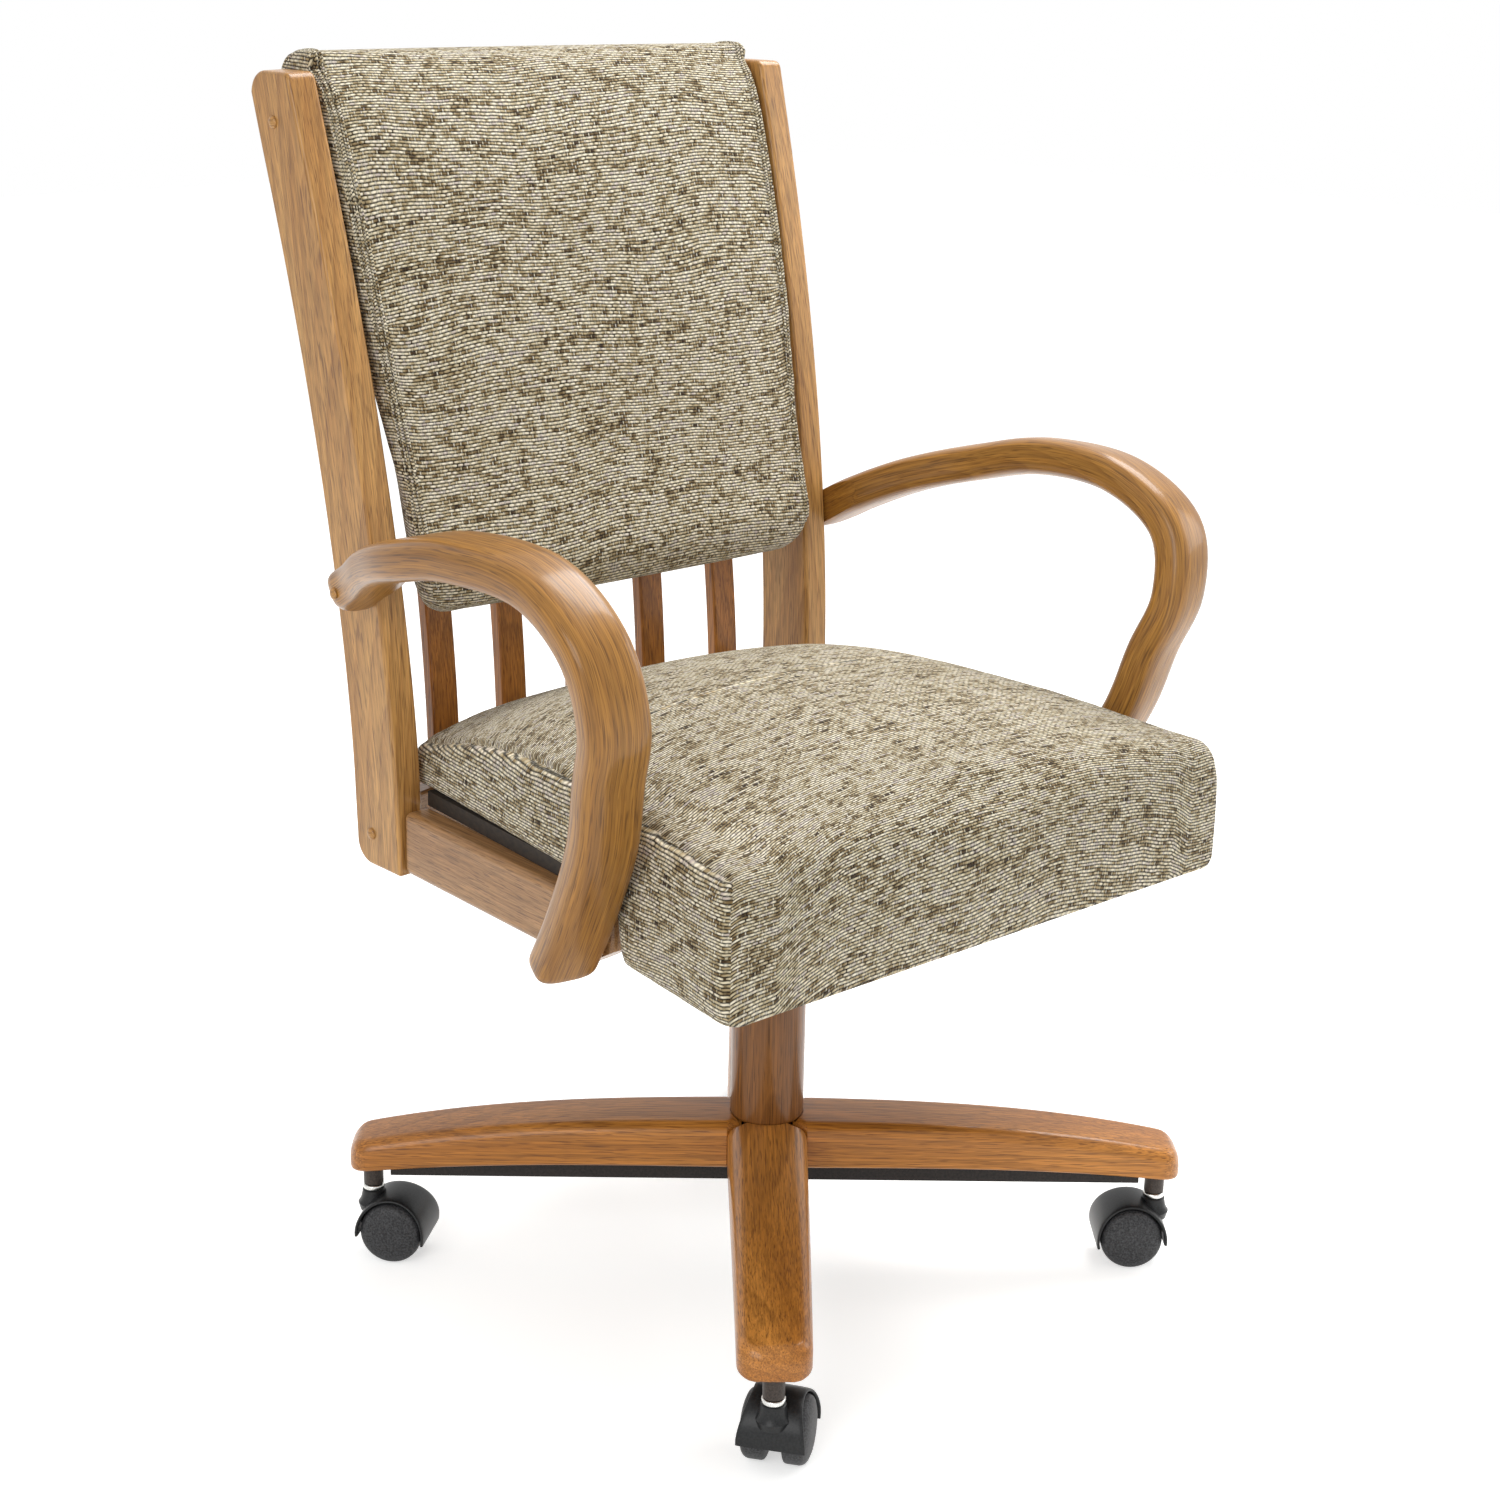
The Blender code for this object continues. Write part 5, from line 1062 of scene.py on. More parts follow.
arms = {
    "way": (
        (0.2530, 0.2126, 0.5526), (0.2547, 0.1729, 0.5743), (0.2735, 0.1231, 0.5973),
        (0.2923, 0.0621, 0.6157), (0.2957, -0.0057, 0.6300), (0.2932, -0.0857, 0.6278),
        (0.2935, -0.1418, 0.5962), (0.2863, -0.1549, 0.5452), (0.2785, -0.1400, 0.4990),
        (0.2718, -0.1245, 0.4475), (0.2635, -0.0905, 0.3843), (0.2573, -0.0590, 0.3352),
    ),
    "wide": 0.0485,
    "high": 0.0304,
    "squareness": 3.4,
    "lean": math.radians(-8.5),
    "nose": 0.0303,
    "noseRound": 0.0100,
    "endRound": 0.0130,
    "steps": 90,
    "sides": 40,
}


# places and directions evenly along a smooth line through the knots
def smoothWay(knots, steps):
    line = [Vector(k) for k in knots]
    line = [line[0] * 2 - line[1]] + line + [line[-1] * 2 - line[-2]]
    fine = []
    for a, b, c, d in zip(line, line[1:], line[2:], line[3:]):
        for i in range(16):
            t = i / 16
            square = 2 * a - 5 * b + 4 * c - d
            cube = 3 * b - a - 3 * c + d
            fine.append(0.5 * (2 * b + (c - a) * t + square * t * t + cube * t ** 3))
    fine.append(line[-2])
    run = [0.0]
    for a, b in zip(fine, fine[1:]):
        run.append(run[-1] + (b - a).length)

    def at(s):
        for i in range(len(run) - 1):
            if run[i + 1] >= s:
                return fine[i].lerp(fine[i + 1], (s - run[i]) / max(1e-9, run[i + 1] - run[i]))
        return fine[-1]

    total = run[-1]
    places = [0.0004, 0.0015, 0.003, 0.005, 0.0075, 0.010, 0.013, 0.017, 0.021, 0.026, 0.031]
    places += [0.036 + (total - 0.06) * n / steps for n in range(steps + 1)]
    places += [total - d for d in (0.020, 0.017, 0.014, 0.011, 0.0085, 0.006, 0.004, 0.0025, 0.0012, 0.0005)]
    stations = []
    for s in places:
        way = at(min(total, s + 0.009)) - at(max(0.0, s - 0.009))
        stations.append((s, total - s, at(s), way.normalized()))
    return stations


def armShape(sign):
    rings, lines = [], []
    for s, left, spot, way in smoothWay(arms["way"], arms["steps"]):
        across = (Vector((1, 0, 0)) - way * way.x).normalized()
        up = way.cross(across)
        lean = arms["lean"] * min(1.0, max(0.0, (s - 0.16) / 0.1))
        wide = across * math.cos(lean) + up * math.sin(lean)
        high = up * math.cos(lean) - across * math.sin(lean)
        outer = 1.0
        if s < arms["nose"]:
            outer = 2.0 * math.sqrt(max(0.0, 1.0 - (1.0 - s / arms["nose"]) ** 2)) - 1.0
        end = fallBack(left, arms["endRound"])
        shrink = 1.0 - end / (arms["wide"] / 2)
        thin = 1.0 - (end + fallBack(s, arms["noseRound"]) * 0.7) / (arms["high"] / 2)
        ring = []
        for n in range(arms["sides"]):
            a = 2 * math.pi * (n + 0.5) / arms["sides"]
            c, d = math.cos(a), math.sin(a)
            u = math.copysign(abs(c) ** (2 / arms["squareness"]), c)
            v = math.copysign(abs(d) ** (2 / arms["squareness"]), d)
            if outer < 1.0:
                u = -1.0 + (u + 1.0) * (outer + 1.0) / 2.0
            point = spot + wide * (u * shrink * arms["wide"] / 2) + high * (v * thin * arms["high"] / 2)
            ring.append((sign * point.x, point.y, point.z))
        rings.append(ring)
        lines.append((s, spot, wide, high, way))
    shape = loft("arm", rings)
    return shape, lines


# the grain follows the bend: place along the arm, then across and up in its section
def bentLog(lines, sign):
    runs = np.array([line[0] for line in lines])
    starts, wides, highs, ways = (np.array([line[n] for line in lines]) for n in (1, 2, 3, 4))

    def log(spots):
        spots = spots * np.array([sign, 1, 1])
        near = np.argmin(((spots[:, None, :] - starts[None, :, :]) ** 2).sum(axis=2), axis=1)
        rest = spots - starts[near]
        along = runs[near] + (rest * ways[near]).sum(axis=1)
        return np.stack([along, (rest * wides[near]).sum(axis=1), (rest * highs[near]).sum(axis=1)], axis=1)

    return log


railRun = math.hypot(railRear - seatFrame["front"], seatFrame["outerFront"] - seatFrame["outerRear"])
railTurn = math.atan2(seatFrame["outerFront"] - seatFrame["outerRear"], railRear - seatFrame["front"])
for sign, mark in ((-1, "right"), (1, "left")):
    shape, lines = armShape(sign)
    mirror = Matrix.Diagonal((sign, 1, 1, 1))
    # flat seats where the arm lies against the post and the side rail
    postSeat = boxMesh("postSeat", (-0.06, 0.12, 0.50), (touch, 0.32, 0.66))
    shape = joined(shape, placed(placed(postSeat, mirror), leanPlace(sign)))
    railSeat = boxMesh("railSeat", (-0.05, 0.06, 0.30), (touch, railRun + 0.02, 0.41))
    railSeat = placed(railSeat, Matrix.Rotation(-railTurn, 4, "Z"))
    railSeat = placed(railSeat, Matrix.Diagonal((1, -1, 1, 1)))
    railSeat = placed(railSeat, Matrix.Translation((seatFrame["outerRear"], railRear, 0)))
    shape = joined(shape, placed(railSeat, mirror))
    spot = leanPlace(sign) @ Vector((sign * plugs["armOut"], *plugs["arm"]))
    outward = Vector((sign * math.cos(plugs["armTurn"]), math.sin(plugs["armTurn"]), 0.0))
    shape = joined(shape, plugHole(spot, outward))
    giveGrain(shape, bentLog(lines, sign), (0.5 + sign * 0.45, 0.06, 0.02))
    addPiece(f"armFine_{mark}", shape, "seat", armOakShaded, [f"arm_{mark}"])
    setPlug(f"plugFine_arm_{mark}", f"plug_arm_{mark}", spot, outward)
print("arms drawn")

seatPad = {
    "front": -0.2390,
    "rear": 0.2140,
    "halfFront": 0.2585,
    "halfRear": 0.1988,
    "skirt": 0.0220,
    "skirtSlope": 0.0050,
    "skirtFoot": 0.3465,
    "skirtRear": -0.0960,
    "edgeFront": 0.4500,
    "edgeMiddle": 0.4610,
    "edgeRear": 0.4300,
    "crown": 0.0330,
    "corner": 0.0150,
    "footRound": 0.0045,
    "boardFront": -0.2065,
    "onBoard": 0.3946,
    "smaller": 0.0008,   # drawn this much smaller all round, and filled out again by the stuffing
    "voxel": 0.0050,
    "swell": 0.0100,
    "seamDeep": 0.0022,
    "seamWide": 0.0030,
}
backPad = {
    "foot": 0.5295,
    "top": 0.9485,
    "sideGap": 0.0010,
    "footDraw": 0.0060,
    "footDrawHigh": 0.1700,
    "footCorner": 0.0240,
    "rearSoft": 0.0140,
    "rearDraw": 0.0180,
    "backGap": 0.0015,
    "proudFoot": 0.0140,
    "proudHead": 0.0010,
    "crown": 0.0080,
    "wrap": 0.0210,
    "flapFoot": 0.8700,
    "smaller": 0.0022,
    "voxel": 0.0045,
    "swell": 0.0070,
    "cordRadius": 0.0016,
    "cordPitch": 0.0040,
}


# Foam under cloth: the mesh becomes even cells, swells under pressure while the held
# points stay, and no point moves further than the cap.
def stuffed(name, mesh, held, voxel, cap, pressure=4.0, frames=20):
    skin = modified(mesh, "REMESH", mode="VOXEL", voxel_size=voxel, use_smooth_shade=True)
    skin.name = name
    start = vertexPlaces(skin)
    normals = np.array([v.normal for v in skin.vertices])
    ob = bpy.data.objects.new(name + "_cloth", skin.copy())
    bpy.context.scene.collection.objects.link(ob)
    group = ob.vertex_groups.new(name="held")
    group.add([int(i) for i in np.nonzero(held(start, normals))[0]], 1.0, "REPLACE")
    mod = ob.modifiers.new("cloth", "CLOTH")
    mod.settings.quality = 6
    mod.settings.use_pressure = True
    mod.settings.uniform_pressure_force = pressure
    mod.settings.vertex_group_mass = "held"
    mod.settings.effector_weights.gravity = 0.0
    mod.point_cache.frame_start = 1
    mod.point_cache.frame_end = frames
    for step in range(1, frames + 1):
        bpy.context.scene.frame_set(step)
    done = bpy.data.meshes.new_from_object(ob.evaluated_get(bpy.context.evaluated_depsgraph_get()))
    move = vertexPlaces(done) - start
    far = np.linalg.norm(move, axis=1, keepdims=True)
    move *= np.minimum(1.0, cap / np.maximum(far, 1e-9))
    skin.vertices.foreach_set("co", (start + move).astype(np.float32).ravel())
    bpy.data.objects.remove(ob, do_unlink=True)
    bpy.context.scene.frame_set(1)
    print(name, "swelled, mm:", round(float(far.max()) * 1000, 1), "capped at", cap * 1000)
    return modified(skin, "SUBSURF", levels=1)


# presses a seam into the skin along lines of points laid on it
def pressSeam(mesh, lines, deep, wide):
    tree = BVHTree.FromPolygons([v.co for v in mesh.vertices], [p.vertices for p in mesh.polygons])
    spots = []
    for line in lines:
        for a, b in zip(line, line[1:]):
            a, b = Vector(a), Vector(b)
            count = max(1, int((b - a).length / 0.002))
            for n in range(count):
                spots.append(tree.find_nearest(a.lerp(b, n / count))[0])
    kd = KDTree(len(spots))
    for n, spot in enumerate(spots):
        kd.insert(spot, n)
    kd.balance()
    for v in mesh.vertices:
        far = kd.find(v.co)[2]
        if far < wide * 3:
            v.co -= v.normal * deep * math.exp(-((far / wide) ** 2))
    return mesh


# stores for each face corner where it lies in the cloth, in mm, and which panel it is
def giveWeave(mesh, panel):
    spots = vertexPlaces(mesh)
    corners = np.empty(len(mesh.loops), dtype=np.int32)
    mesh.loops.foreach_get("vertex_index", corners)
    sizes = np.empty(len(mesh.polygons), dtype=np.int32)
    mesh.polygons.foreach_get("loop_total", sizes)
    centres = np.array([p.center for p in mesh.polygons])
    normals = np.array([p.normal for p in mesh.polygons])
    chart = np.repeat(panel(centres, normals, None), sizes)
    cloth = panel(spots[corners], None, chart)
    layer = mesh.attributes.new("weave", "FLOAT_VECTOR", "CORNER")
    layer.data.foreach_set("vector", cloth.astype(np.float32).ravel())
    return mesh


# smooth rows of points between the given ones; it bends everywhere but at the sharp rows
def smoothed(rows, places, gap, sharp=()):
    rows = [np.array(row, dtype=float) for row in rows]
    last = len(rows) - 1

    def slope(i, segment):
        if i in sharp or i in (0, last):
            return (rows[segment + 1] - rows[segment]) / (places[segment + 1] - places[segment])
        a, b = places[i] - places[i - 1], places[i + 1] - places[i]
        return (b * (rows[i] - rows[i - 1]) / a + a * (rows[i + 1] - rows[i]) / b) / (a + b)

    out = []
    for i in range(last):
        long = places[i + 1] - places[i]
        first, second = slope(i, i) * long, slope(i + 1, i) * long
        count = max(1, round(long / gap))
        for n in range(count):
            t = n / count
            out.append(
                rows[i] * (1 + 2 * t) * (1 - t) ** 2 + first * t * (1 - t) ** 2
                + rows[i + 1] * t * t * (3 - 2 * t) + second * t * t * (t - 1)
            )
    out.append(rows[-1])
    return out


# a closed ring of points made smooth, with as many points whatever its size
def smoothRing(ring, like, gap, sharp):
    like = [Vector(p) for p in like] + [Vector(like[0])]
    places = [0.0]
    for a, b in zip(like, like[1:]):
        places.append(places[-1] + max(1e-5, (b - a).length))
    return np.array(smoothed(list(ring) + [ring[0]], places, gap, sharp)[:-1])


def seatHalf(y):
    share = np.clip((y - seatPad["front"]) / (railRear - seatPad["front"]), None, 1.0)
    return seatPad["halfFront"] + (seatPad["halfRear"] - seatPad["halfFront"]) * share


def seatEdge(y):
    front = np.clip(-y / 0.2, 0.0, 1.0) ** 2 * (seatPad["edgeFront"] - seatPad["edgeMiddle"])
    rear = np.clip(y / 0.19, 0.0, 1.0) ** 2 * (seatPad["edgeRear"] - seatPad["edgeMiddle"])
    return seatPad["edgeMiddle"] + front + rear


def seatRing(y, foot, recess, end, less):
    half = float(seatHalf(y)) - fallBack(end, seatPad["corner"]) - less
    edge = float(seatEdge(y)) - fallBack(end, seatPad["corner"]) - less
    crown = seatPad["crown"] * (0.55 + 0.45 * min(1.0, end / 0.12))
    foot = foot + fallBack(end, seatPad["footRound"])
    side = edge - foot
    right = [
        (half - seatPad["skirt"] - seatPad["skirtSlope"] + less, recess),
        (half - seatPad["skirt"] + less, foot),
        (half - 0.006, foot),
        (half - 0.0012, foot + 0.06 * side),
        (half + 0.0008, foot + 0.28 * side),
        (half + 0.0010, foot + 0.50 * side),
        (half - 0.0015, foot + 0.76 * side),
        (half - 0.0065, foot + 0.92 * side),
        (half - 0.017, edge + 0.002),
        (half - 0.036, edge + crown * 0.36),
        (half * 0.66, edge + crown * 0.69),
        (half * 0.44, edge + crown * 0.88),
        (half * 0.22, edge + crown * 0.97),
    ]
    ring = [(0.0, recess)] + right + [(0.0, edge + crown)] + [(-x, z) for x, z in reversed(right)]
    return [(x, y, z) for x, z in ring]


def seatRings(less):
    foot, on = seatPad["skirtFoot"], seatPad["onBoard"]
    front, rear = seatPad["front"] + less, seatPad["rear"] - less
    boardEnd = seatPad["boardFront"] - touch * 2
    rings = []
    for d in (0.0008, 0.004, 0.010, 0.018, 0.027):
        rings.append(seatRing(front + d, foot, foot + fallBack(d, seatPad["footRound"]), d, less))
    d = boardEnd - front
    rings.append(seatRing(boardEnd - 0.0004, foot, foot, d, less))
    rings.append(seatRing(boardEnd + 0.0002, foot, on, d, less))
    for y in (-0.18, -0.14, seatPad["skirtRear"] - 0.006):
        rings.append(seatRing(y, foot, on, y - front, less))
    for y in (seatPad["skirtRear"], -0.05, 0.0, 0.05, 0.10, 0.14, 0.165):
        rings.append(seatRing(y, on, on, min(y - front, rear - y), less))
    for d in (0.028, 0.018, 0.010, 0.004, 0.0008):
        rings.append(seatRing(rear - d, on, on, d, less))
    return rings


def denseSeat():
    rings = seatRings(seatPad["smaller"])
    like = rings[8]
    rows = [smoothRing(ring, like, 0.006, (1, 2, 26, 27)) for ring in rings]
    # the recess for the board starts and ends sharply
    return smoothed(rows, [ring[0][1] for ring in rings], 0.007, (5, 6, 9, 10))


# the underside, the sides' edges and the corners are held by seams and tacks
def seatHeld(spots, normals):
    x, y, z = np.abs(spots[:, 0]), spots[:, 1], spots[:, 2]
    under = normals[:, 2] < -0.35
    low = z < seatPad["skirtFoot"] + 0.012
    beside = x > seatHalf(y) - 0.022
    endways = (y < seatPad["front"] + 0.022) | (y > seatPad["rear"] - 0.022)
    seam = beside & (z > seatEdge(y) - 0.022)
    skirt = low & (y < seatPad["skirtRear"])
    return under | skirt | (beside & endways) | seam | (y > seatPad["rear"] - 0.012)


def seatTop(x):
    share = np.interp(
        np.abs(x), [0.0, 0.052, 0.104, 0.156, 0.195, 0.214, 0.256], [1.0, 0.96, 0.84, 0.62, 0.30, 0.0, 0.0]
    )
    return seatPad["edgeMiddle"] + seatPad["crown"] * share


# panel 0 is top and front in one piece, panels 1 and 2 are the boxed sides
def seatPanel(spots, normals, chart):
    x, y, z = spots[:, 0], spots[:, 1], spots[:, 2]
    if chart is None:
        out = np.abs(x) - seatHalf(y)
        side = (out + 0.0150) > (z - seatEdge(y) + 0.0040)
        side &= (out + 0.0088) > (seatPad["front"] + 0.0088 - y)
        side &= (out + 0.0088) > (y - seatPad["rear"] + 0.0088)
        return np.where(side, np.where(x > 0, 1, 2), 0)
    top = seatTop(x)
    v = -y + np.where(y < 0, top - z, z - top)
    u = np.where(chart == 0, x, y)
    v = np.where(chart == 0, v, -seatPad["front"] + (seatTop(np.full_like(x, 0.25)) - z))
    return np.stack([u * 1000, v * 1000, chart * 3.7], axis=1)


seatShape = loft("seat", [[tuple(p) for p in row] for row in denseSeat()])
seatShape = stuffed("seatCushionFine", seatShape, seatHeld, seatPad["voxel"], seatPad["swell"])
seams = []
for sign in (-1, 1):
    line = []
    for n in range(41):
        y = seatPad["rear"] - 0.012 + (seatPad["front"] + 0.020 - seatPad["rear"] + 0.012) * n / 40
        line.append((sign * (float(seatHalf(y)) - 0.0150), y, float(seatEdge(y)) - 0.0040))
    y = seatPad["front"] + 0.0088
    line += [(sign * (float(seatHalf(y)) - 0.0110), y, seatPad["edgeFront"] - 0.018)]
    down = [seatPad["edgeFront"] - 0.028 - 0.064 * n / 8 for n in range(9)]
    line += [(sign * (float(seatHalf(y)) - 0.0088), y, z) for z in down]
    seams.append(line)
pressSeam(seatShape, seams, seatPad["seamDeep"], seatPad["seamWide"])
giveWeave(seatShape, seatPanel)
seatPiece = addPiece("seatCushionFine", seatShape, "seat", tweed, ["seat_cushion"], sharp=180.0)
print("seat cushion made")


def padHalf(z):
    drawn = backPad["footDraw"] * max(0.0, 1.0 - (z - backPad["foot"]) / backPad["footDrawHigh"])
    return postInner(z) - backPad["sideGap"] - drawn


def padFront(z):
    share = (z - backPad["foot"]) / (backPad["top"] - backPad["foot"])
    proud = backPad["proudFoot"] + (backPad["proudHead"] - backPad["proudFoot"]) * share
    return postFront(z) - proud


def padRing(u, less):
    inset = 1.0 - abs(u)
    soft = 0.0
    if inset < 0.05:
        soft = 0.007 * (1.0 - math.sqrt(max(0.0, 1.0 - (1.0 - inset / 0.05) ** 2)))
    reach = postInner(backPad["foot"])
    lift = fallBack(inset * reach, backPad["footCorner"]) * 0.85
    tuck = fallBack(inset * reach, backPad["rearSoft"])
    crown = backPad["crown"] * (1.0 - abs(u) ** 3)

    def front(z):
        share = (z - backPad["foot"]) / (backPad["top"] - backPad["foot"])
        belly = 0.010 * max(0.0, 1.0 - (z - backPad["foot"]) / 0.12)
        return padFront(z) - crown * (1.0 - 0.5 * share) - belly + soft + less

    def back(z):
        x = u * padHalf(z)
        rail = highRailFront - bowed(x, seatFrame["highBow"]) if z > 0.82 else 1.0
        below = min(1.0, max(0.0, (0.84 - z) / 0.10))
        behind = min(slatFront(x, z), slatFront(2 * slats["spacing"], z) + 0.006, rail)
        return behind - backPad["backGap"] - tuck * below

    railFront = highRailFront - bowed(u * padHalf(seatFrame["topTop"]), seatFrame["highBow"])
    railBack = railFront + seatFrame["crossThick"]
    over = seatFrame["topTop"] + backPad["backGap"]
    foot, flap = backPad["foot"] + less + lift, backPad["flapFoot"]
    top = backPad["top"] - soft * 0.6 - less
    wrap = backPad["wrap"] - soft - less
    loop = [(front(foot + 0.022), foot + 0.022)]
    for up in (0.06, 0.11, 0.16, 0.21, 0.26, 0.31, 0.345):
        loop.append((front(backPad["foot"] + up), backPad["foot"] + up))
    loop += [
        (front(0.905) + 0.001, 0.905), (front(0.92) + 0.005, 0.922), (front(0.93) + 0.014, top - 0.0085),
        (railFront - 0.004, top - 0.0015), (railFront + 0.012, top), (railBack + 0.002, top - 0.003),
        (railBack + wrap * 0.75, top - 0.012), (railBack + wrap, top - 0.028), (railBack + wrap, flap + 0.02),
        (railBack + wrap * 0.85, flap + 0.006), (railBack + wrap * 0.5, flap),
        (railBack + backPad["backGap"], flap + 0.001), (railBack + backPad["backGap"], over),
        (railFront - backPad["backGap"], over), (back(0.90), 0.893), (back(0.86), 0.858),
    ]
    loop += [(back(z), z) for z in (0.82, 0.77, 0.71, 0.65, 0.60)] + [(back(0.565), max(0.565, foot + 0.016))]
    rear = back(0.55)
    loop += [
        (rear - 0.004, foot + 0.006), (rear - 0.018, foot), (front(0.56) + 0.020, foot),
        (front(0.56) + 0.010, foot + 0.0035), (front(0.56) + 0.003, foot + 0.011),
    ]
    # starts in the sharp corner over the rail
    loop = loop[20:] + loop[:20]

    # lower down, the sides slant inwards to the rear
    def half(y, z):
        behind = min(1.0, max(0.0, (y - postFront(z) + backPad["proudFoot"]) / 0.045))
        return padHalf(z) - less - backPad["rearDraw"] * behind * min(1.0, max(0.0, (0.76 - z) / 0.10))

    return [(u * half(y, z), y, z) for y, z in loop]


def densePad():
    stations = (1.0, 0.985, 0.96, 0.92, 0.80, 0.6, 0.4, 0.2)
    places = [-u for u in stations] + [0.0] + list(reversed(stations))
    rings = [padRing(u, backPad["smaller"]) for u in places]
    like = rings[8]
    rows = [smoothRing(ring, like, 0.006, (1, 34)) for ring in rings]
    return smoothed(rows, places, 0.022)


# the rear, the rim and the fold over the top rail are held by seams and tacks
def padHeld(spots, normals):
    high = highRailFront
    halves = np.array([padHalf(z) for z in spots[:, 2]])
    ends = (spots[:, 2] > 0.925) | (spots[:, 2] < backPad["foot"] + 0.012)
    rim = (np.abs(spots[:, 0]) > halves - 0.012) | ends
    inner = (spots[:, 2] > 0.86) & (spots[:, 2] < 0.935) & (np.abs(spots[:, 1] - high - 0.013) < 0.018)
    return (normals[:, 1] > 0.5) & (spots[:, 2] < 0.865) | inner | rim


# panel 0 is the front rolled over the top, panel 3 its short flap behind, 1 and 2 the sides
def padPanel(spots, normals, chart):
    x, y, z = spots[:, 0], spots[:, 1], spots[:, 2]
    line = np.array([padFront(h) for h in z])
    if chart is None:
        side = np.abs(normals[:, 0]) > np.maximum(np.abs(normals[:, 1]), np.abs(normals[:, 2])) * 1.02
        rear = (normals[:, 1] > 0.25) & (z > 0.86)
        chart = np.where(rear, 3, 0)
        return np.where(side, np.where(x > 0, 1, 2), chart)
    deep = np.maximum(0.0, y - line)
    v = np.where(z > 0.75, z + deep, z - deep)
    v = np.where(chart == 3, 2 * backPad["top"] - z + deep, v)
    sided = (chart == 1) | (chart == 2)
    u = np.where(sided, y - line, x)
    v = np.where(sided, z, v)
    tag = np.where(sided, chart, 0) * 3.7 + 20.0
    return np.stack([u * 1000, v * 1000, tag], axis=1)


padShape = loft("pad", [[tuple(p) for p in row] for row in densePad()])
padShape = stuffed("backPadFine", padShape, padHeld, backPad["voxel"], backPad["swell"])
# three stitched ribs run up each side edge of the front and over the top
tree = BVHTree.FromPolygons([v.co for v in padShape.vertices], [p.vertices for p in padShape.polygons])
ribs = bmesh.new()
ribs.from_mesh(padShape)
for sign in (-1, 1):
    for n in range(3):
        inset = (0.0025 + backPad["cordPitch"] * n) / padHalf(0.74)
        line = [Vector(p) for p in padRing(sign * (1.0 - inset), backPad["smaller"])[15:31]]
        places = [0.0]
        for a, b in zip(line, line[1:]):
            places.append(places[-1] + (b - a).length)
        spots = []
        for p in smoothed(line, places, 0.004):
            near, normal = tree.find_nearest(Vector(p))[:2]
            spots.append(near + normal * 0.0003)
        ribs.from_mesh(tube("rib", spots, backPad["cordRadius"], 10))
ribs.to_mesh(padShape)
ribs.free()
giveWeave(padShape, padPanel)
padPiece = addPiece("backPadFine", padShape, "seat", tweed, ["back_pad"], sharp=180.0)
print("back pad made")

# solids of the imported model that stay, with their finishes
finishes = {
    "base_frame": powderSteel,
    "column_bushing": hoodNylon,
    "tilt_bracket": powderSteel,
    "seat_plate": powderSteel,
    "pivot_axle": zincSteel,
    "tension_bolt": zincSteel,
    "spring_cup": zincSteel,
    # the seat board's dark finish is painted shade
    "seat_board": shadePly,
}
finishes.update({f"caster_{k}_axle": zincSteel for k in (1, 2, 3, 4)})
for name, material in finishes.items():
    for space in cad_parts[name].material_slots:
        space.material = material

eye = bpy.data.objects.new("photoCamera", bpy.data.cameras.new("photoCamera"))
bpy.context.scene.collection.objects.link(eye)
yaw, pitch, roll = (math.radians(camera[name]) for name in ("yaw", "pitch", "roll"))
right = Vector((math.cos(yaw), -math.sin(yaw), 0))
ahead = Vector((math.cos(pitch) * math.sin(yaw), math.cos(pitch) * math.cos(yaw), -math.sin(pitch)))
upward = right.cross(ahead)
across = right * math.cos(roll) + upward * math.sin(roll)
above = upward * math.cos(roll) - right * math.sin(roll)
turn = Matrix((across, above, -ahead)).transposed().to_4x4()
eye.matrix_world = Matrix.Translation(camera["place"]) @ turn
eye.data.sensor_width = 36.0
eye.data.lens = camera["lens"]
eye.data.clip_end = 50.0
bpy.context.scene.camera = eye


def addLamp(name, place, aim, size, watts):
    lamp = bpy.data.lights.new(name, "AREA")
    lamp.shape = "SQUARE"
    lamp.size = size
    lamp.energy = watts
    ob = bpy.data.objects.new(name, lamp)
    bpy.context.scene.collection.objects.link(ob)
    ob.location = place
    ob.rotation_euler = (Vector(aim) - Vector(place)).to_track_quat("-Z", "Y").to_euler()


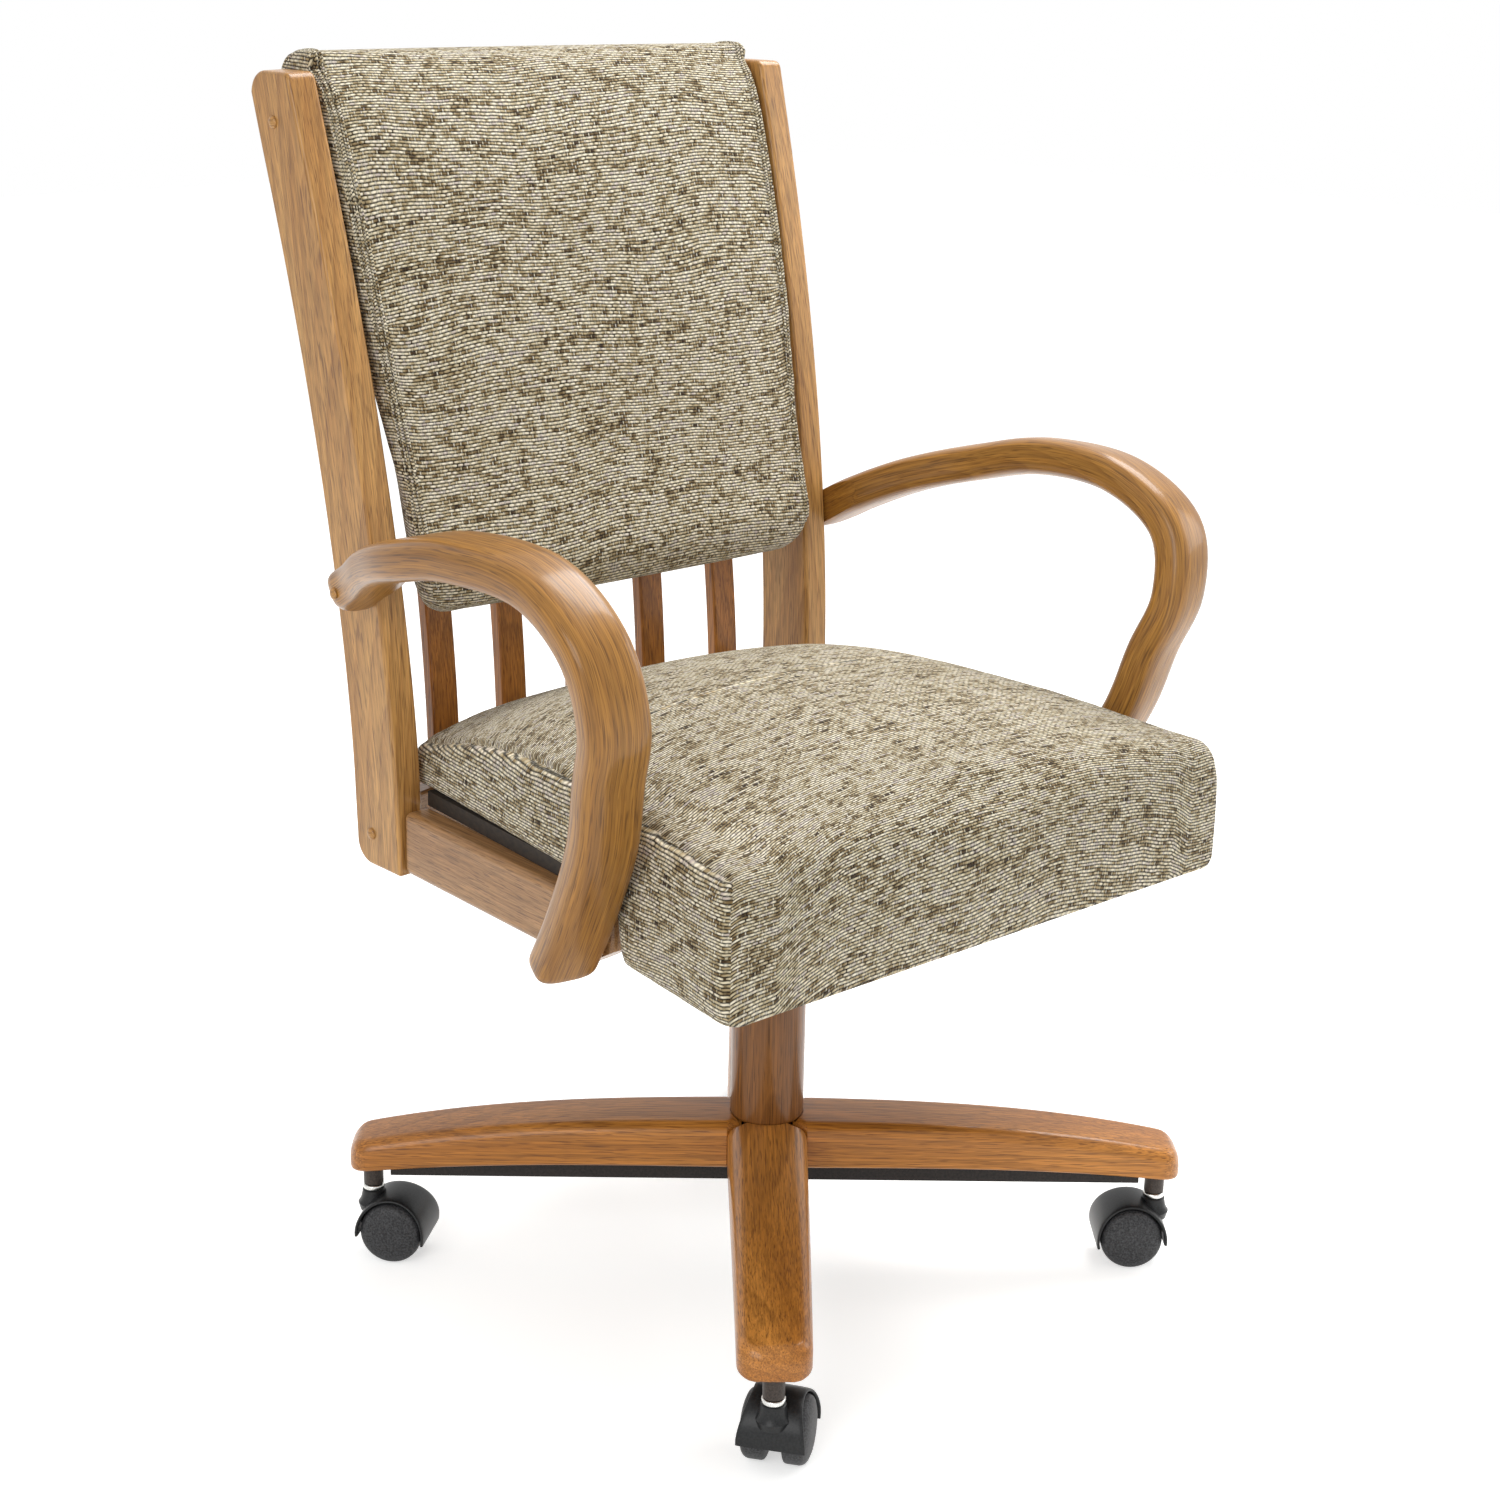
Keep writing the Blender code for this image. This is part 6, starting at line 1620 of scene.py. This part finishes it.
addLamp("topLamp", light["top"], (0, 0, 0.5), light["topSize"], light["topWatts"])
addLamp("frontLamp", light["front"], (0, 0, 0.45), light["frontSize"], light["frontWatts"])
addLamp("sideLamp", light["side"], (0, 0, 0.5), light["sideSize"], light["sideWatts"])

# the backdrop shows white to the camera and in reflections, and lights softly otherwise
world = bpy.data.worlds.new("studio")
bpy.context.scene.world = world
world.use_nodes = True
tree = world.node_tree
tree.nodes.clear()
path = addNode(tree, "ShaderNodeLightPath")
seen = addNode(
    tree, "ShaderNodeMath", {0: path.outputs["Is Camera Ray"], 1: path.outputs["Is Glossy Ray"]},
    operation="MAXIMUM",
)
seen = addNode(tree, "ShaderNodeMath", {0: seen, 1: path.outputs["Is Transmission Ray"]}, operation="MAXIMUM")
level = addNode(tree, "ShaderNodeMapRange", {"Value": seen, "To Min": light["world"], "To Max": 1.0})
sky = addNode(tree, "ShaderNodeBackground", {"Color": (1, 1, 1, 1), "Strength": level})
addNode(tree, "ShaderNodeOutputWorld", {"Surface": sky})

# painted plaster floor, matt white; the camera sees it a little brighter, as in a cut-out
floorPaint, tree, shader = newMaterial("plaster_painted_white")
shader.inputs["Base Color"].default_value = hexLinear("f4f4f2")
shader.inputs["Roughness"].default_value = 0.9
path = addNode(tree, "ShaderNodeLightPath")
seen = addNode(
    tree, "ShaderNodeMath", {0: path.outputs["Is Camera Ray"], 1: path.outputs["Is Glossy Ray"]},
    operation="MAXIMUM",
)
glow = addNode(tree, "ShaderNodeMath", {0: seen, 1: light["floorGlow"]}, operation="MULTIPLY")
tree.links.new(glow.outputs[0], shader.inputs["Emission Strength"])
shader.inputs["Emission Color"].default_value = (1, 1, 1, 1)
bm = bmesh.new()
bmesh.ops.create_grid(bm, x_segments=1, y_segments=1, size=8.0)
floorMesh = meshFrom(bm, "studioFloor")
floorMesh.materials.append(floorPaint)
floor = bpy.data.objects.new("studioFloor", floorMesh)
bpy.context.scene.collection.objects.link(floor)
floor.location.z = -0.0005

bpy.context.scene.view_settings.view_transform = "Standard"
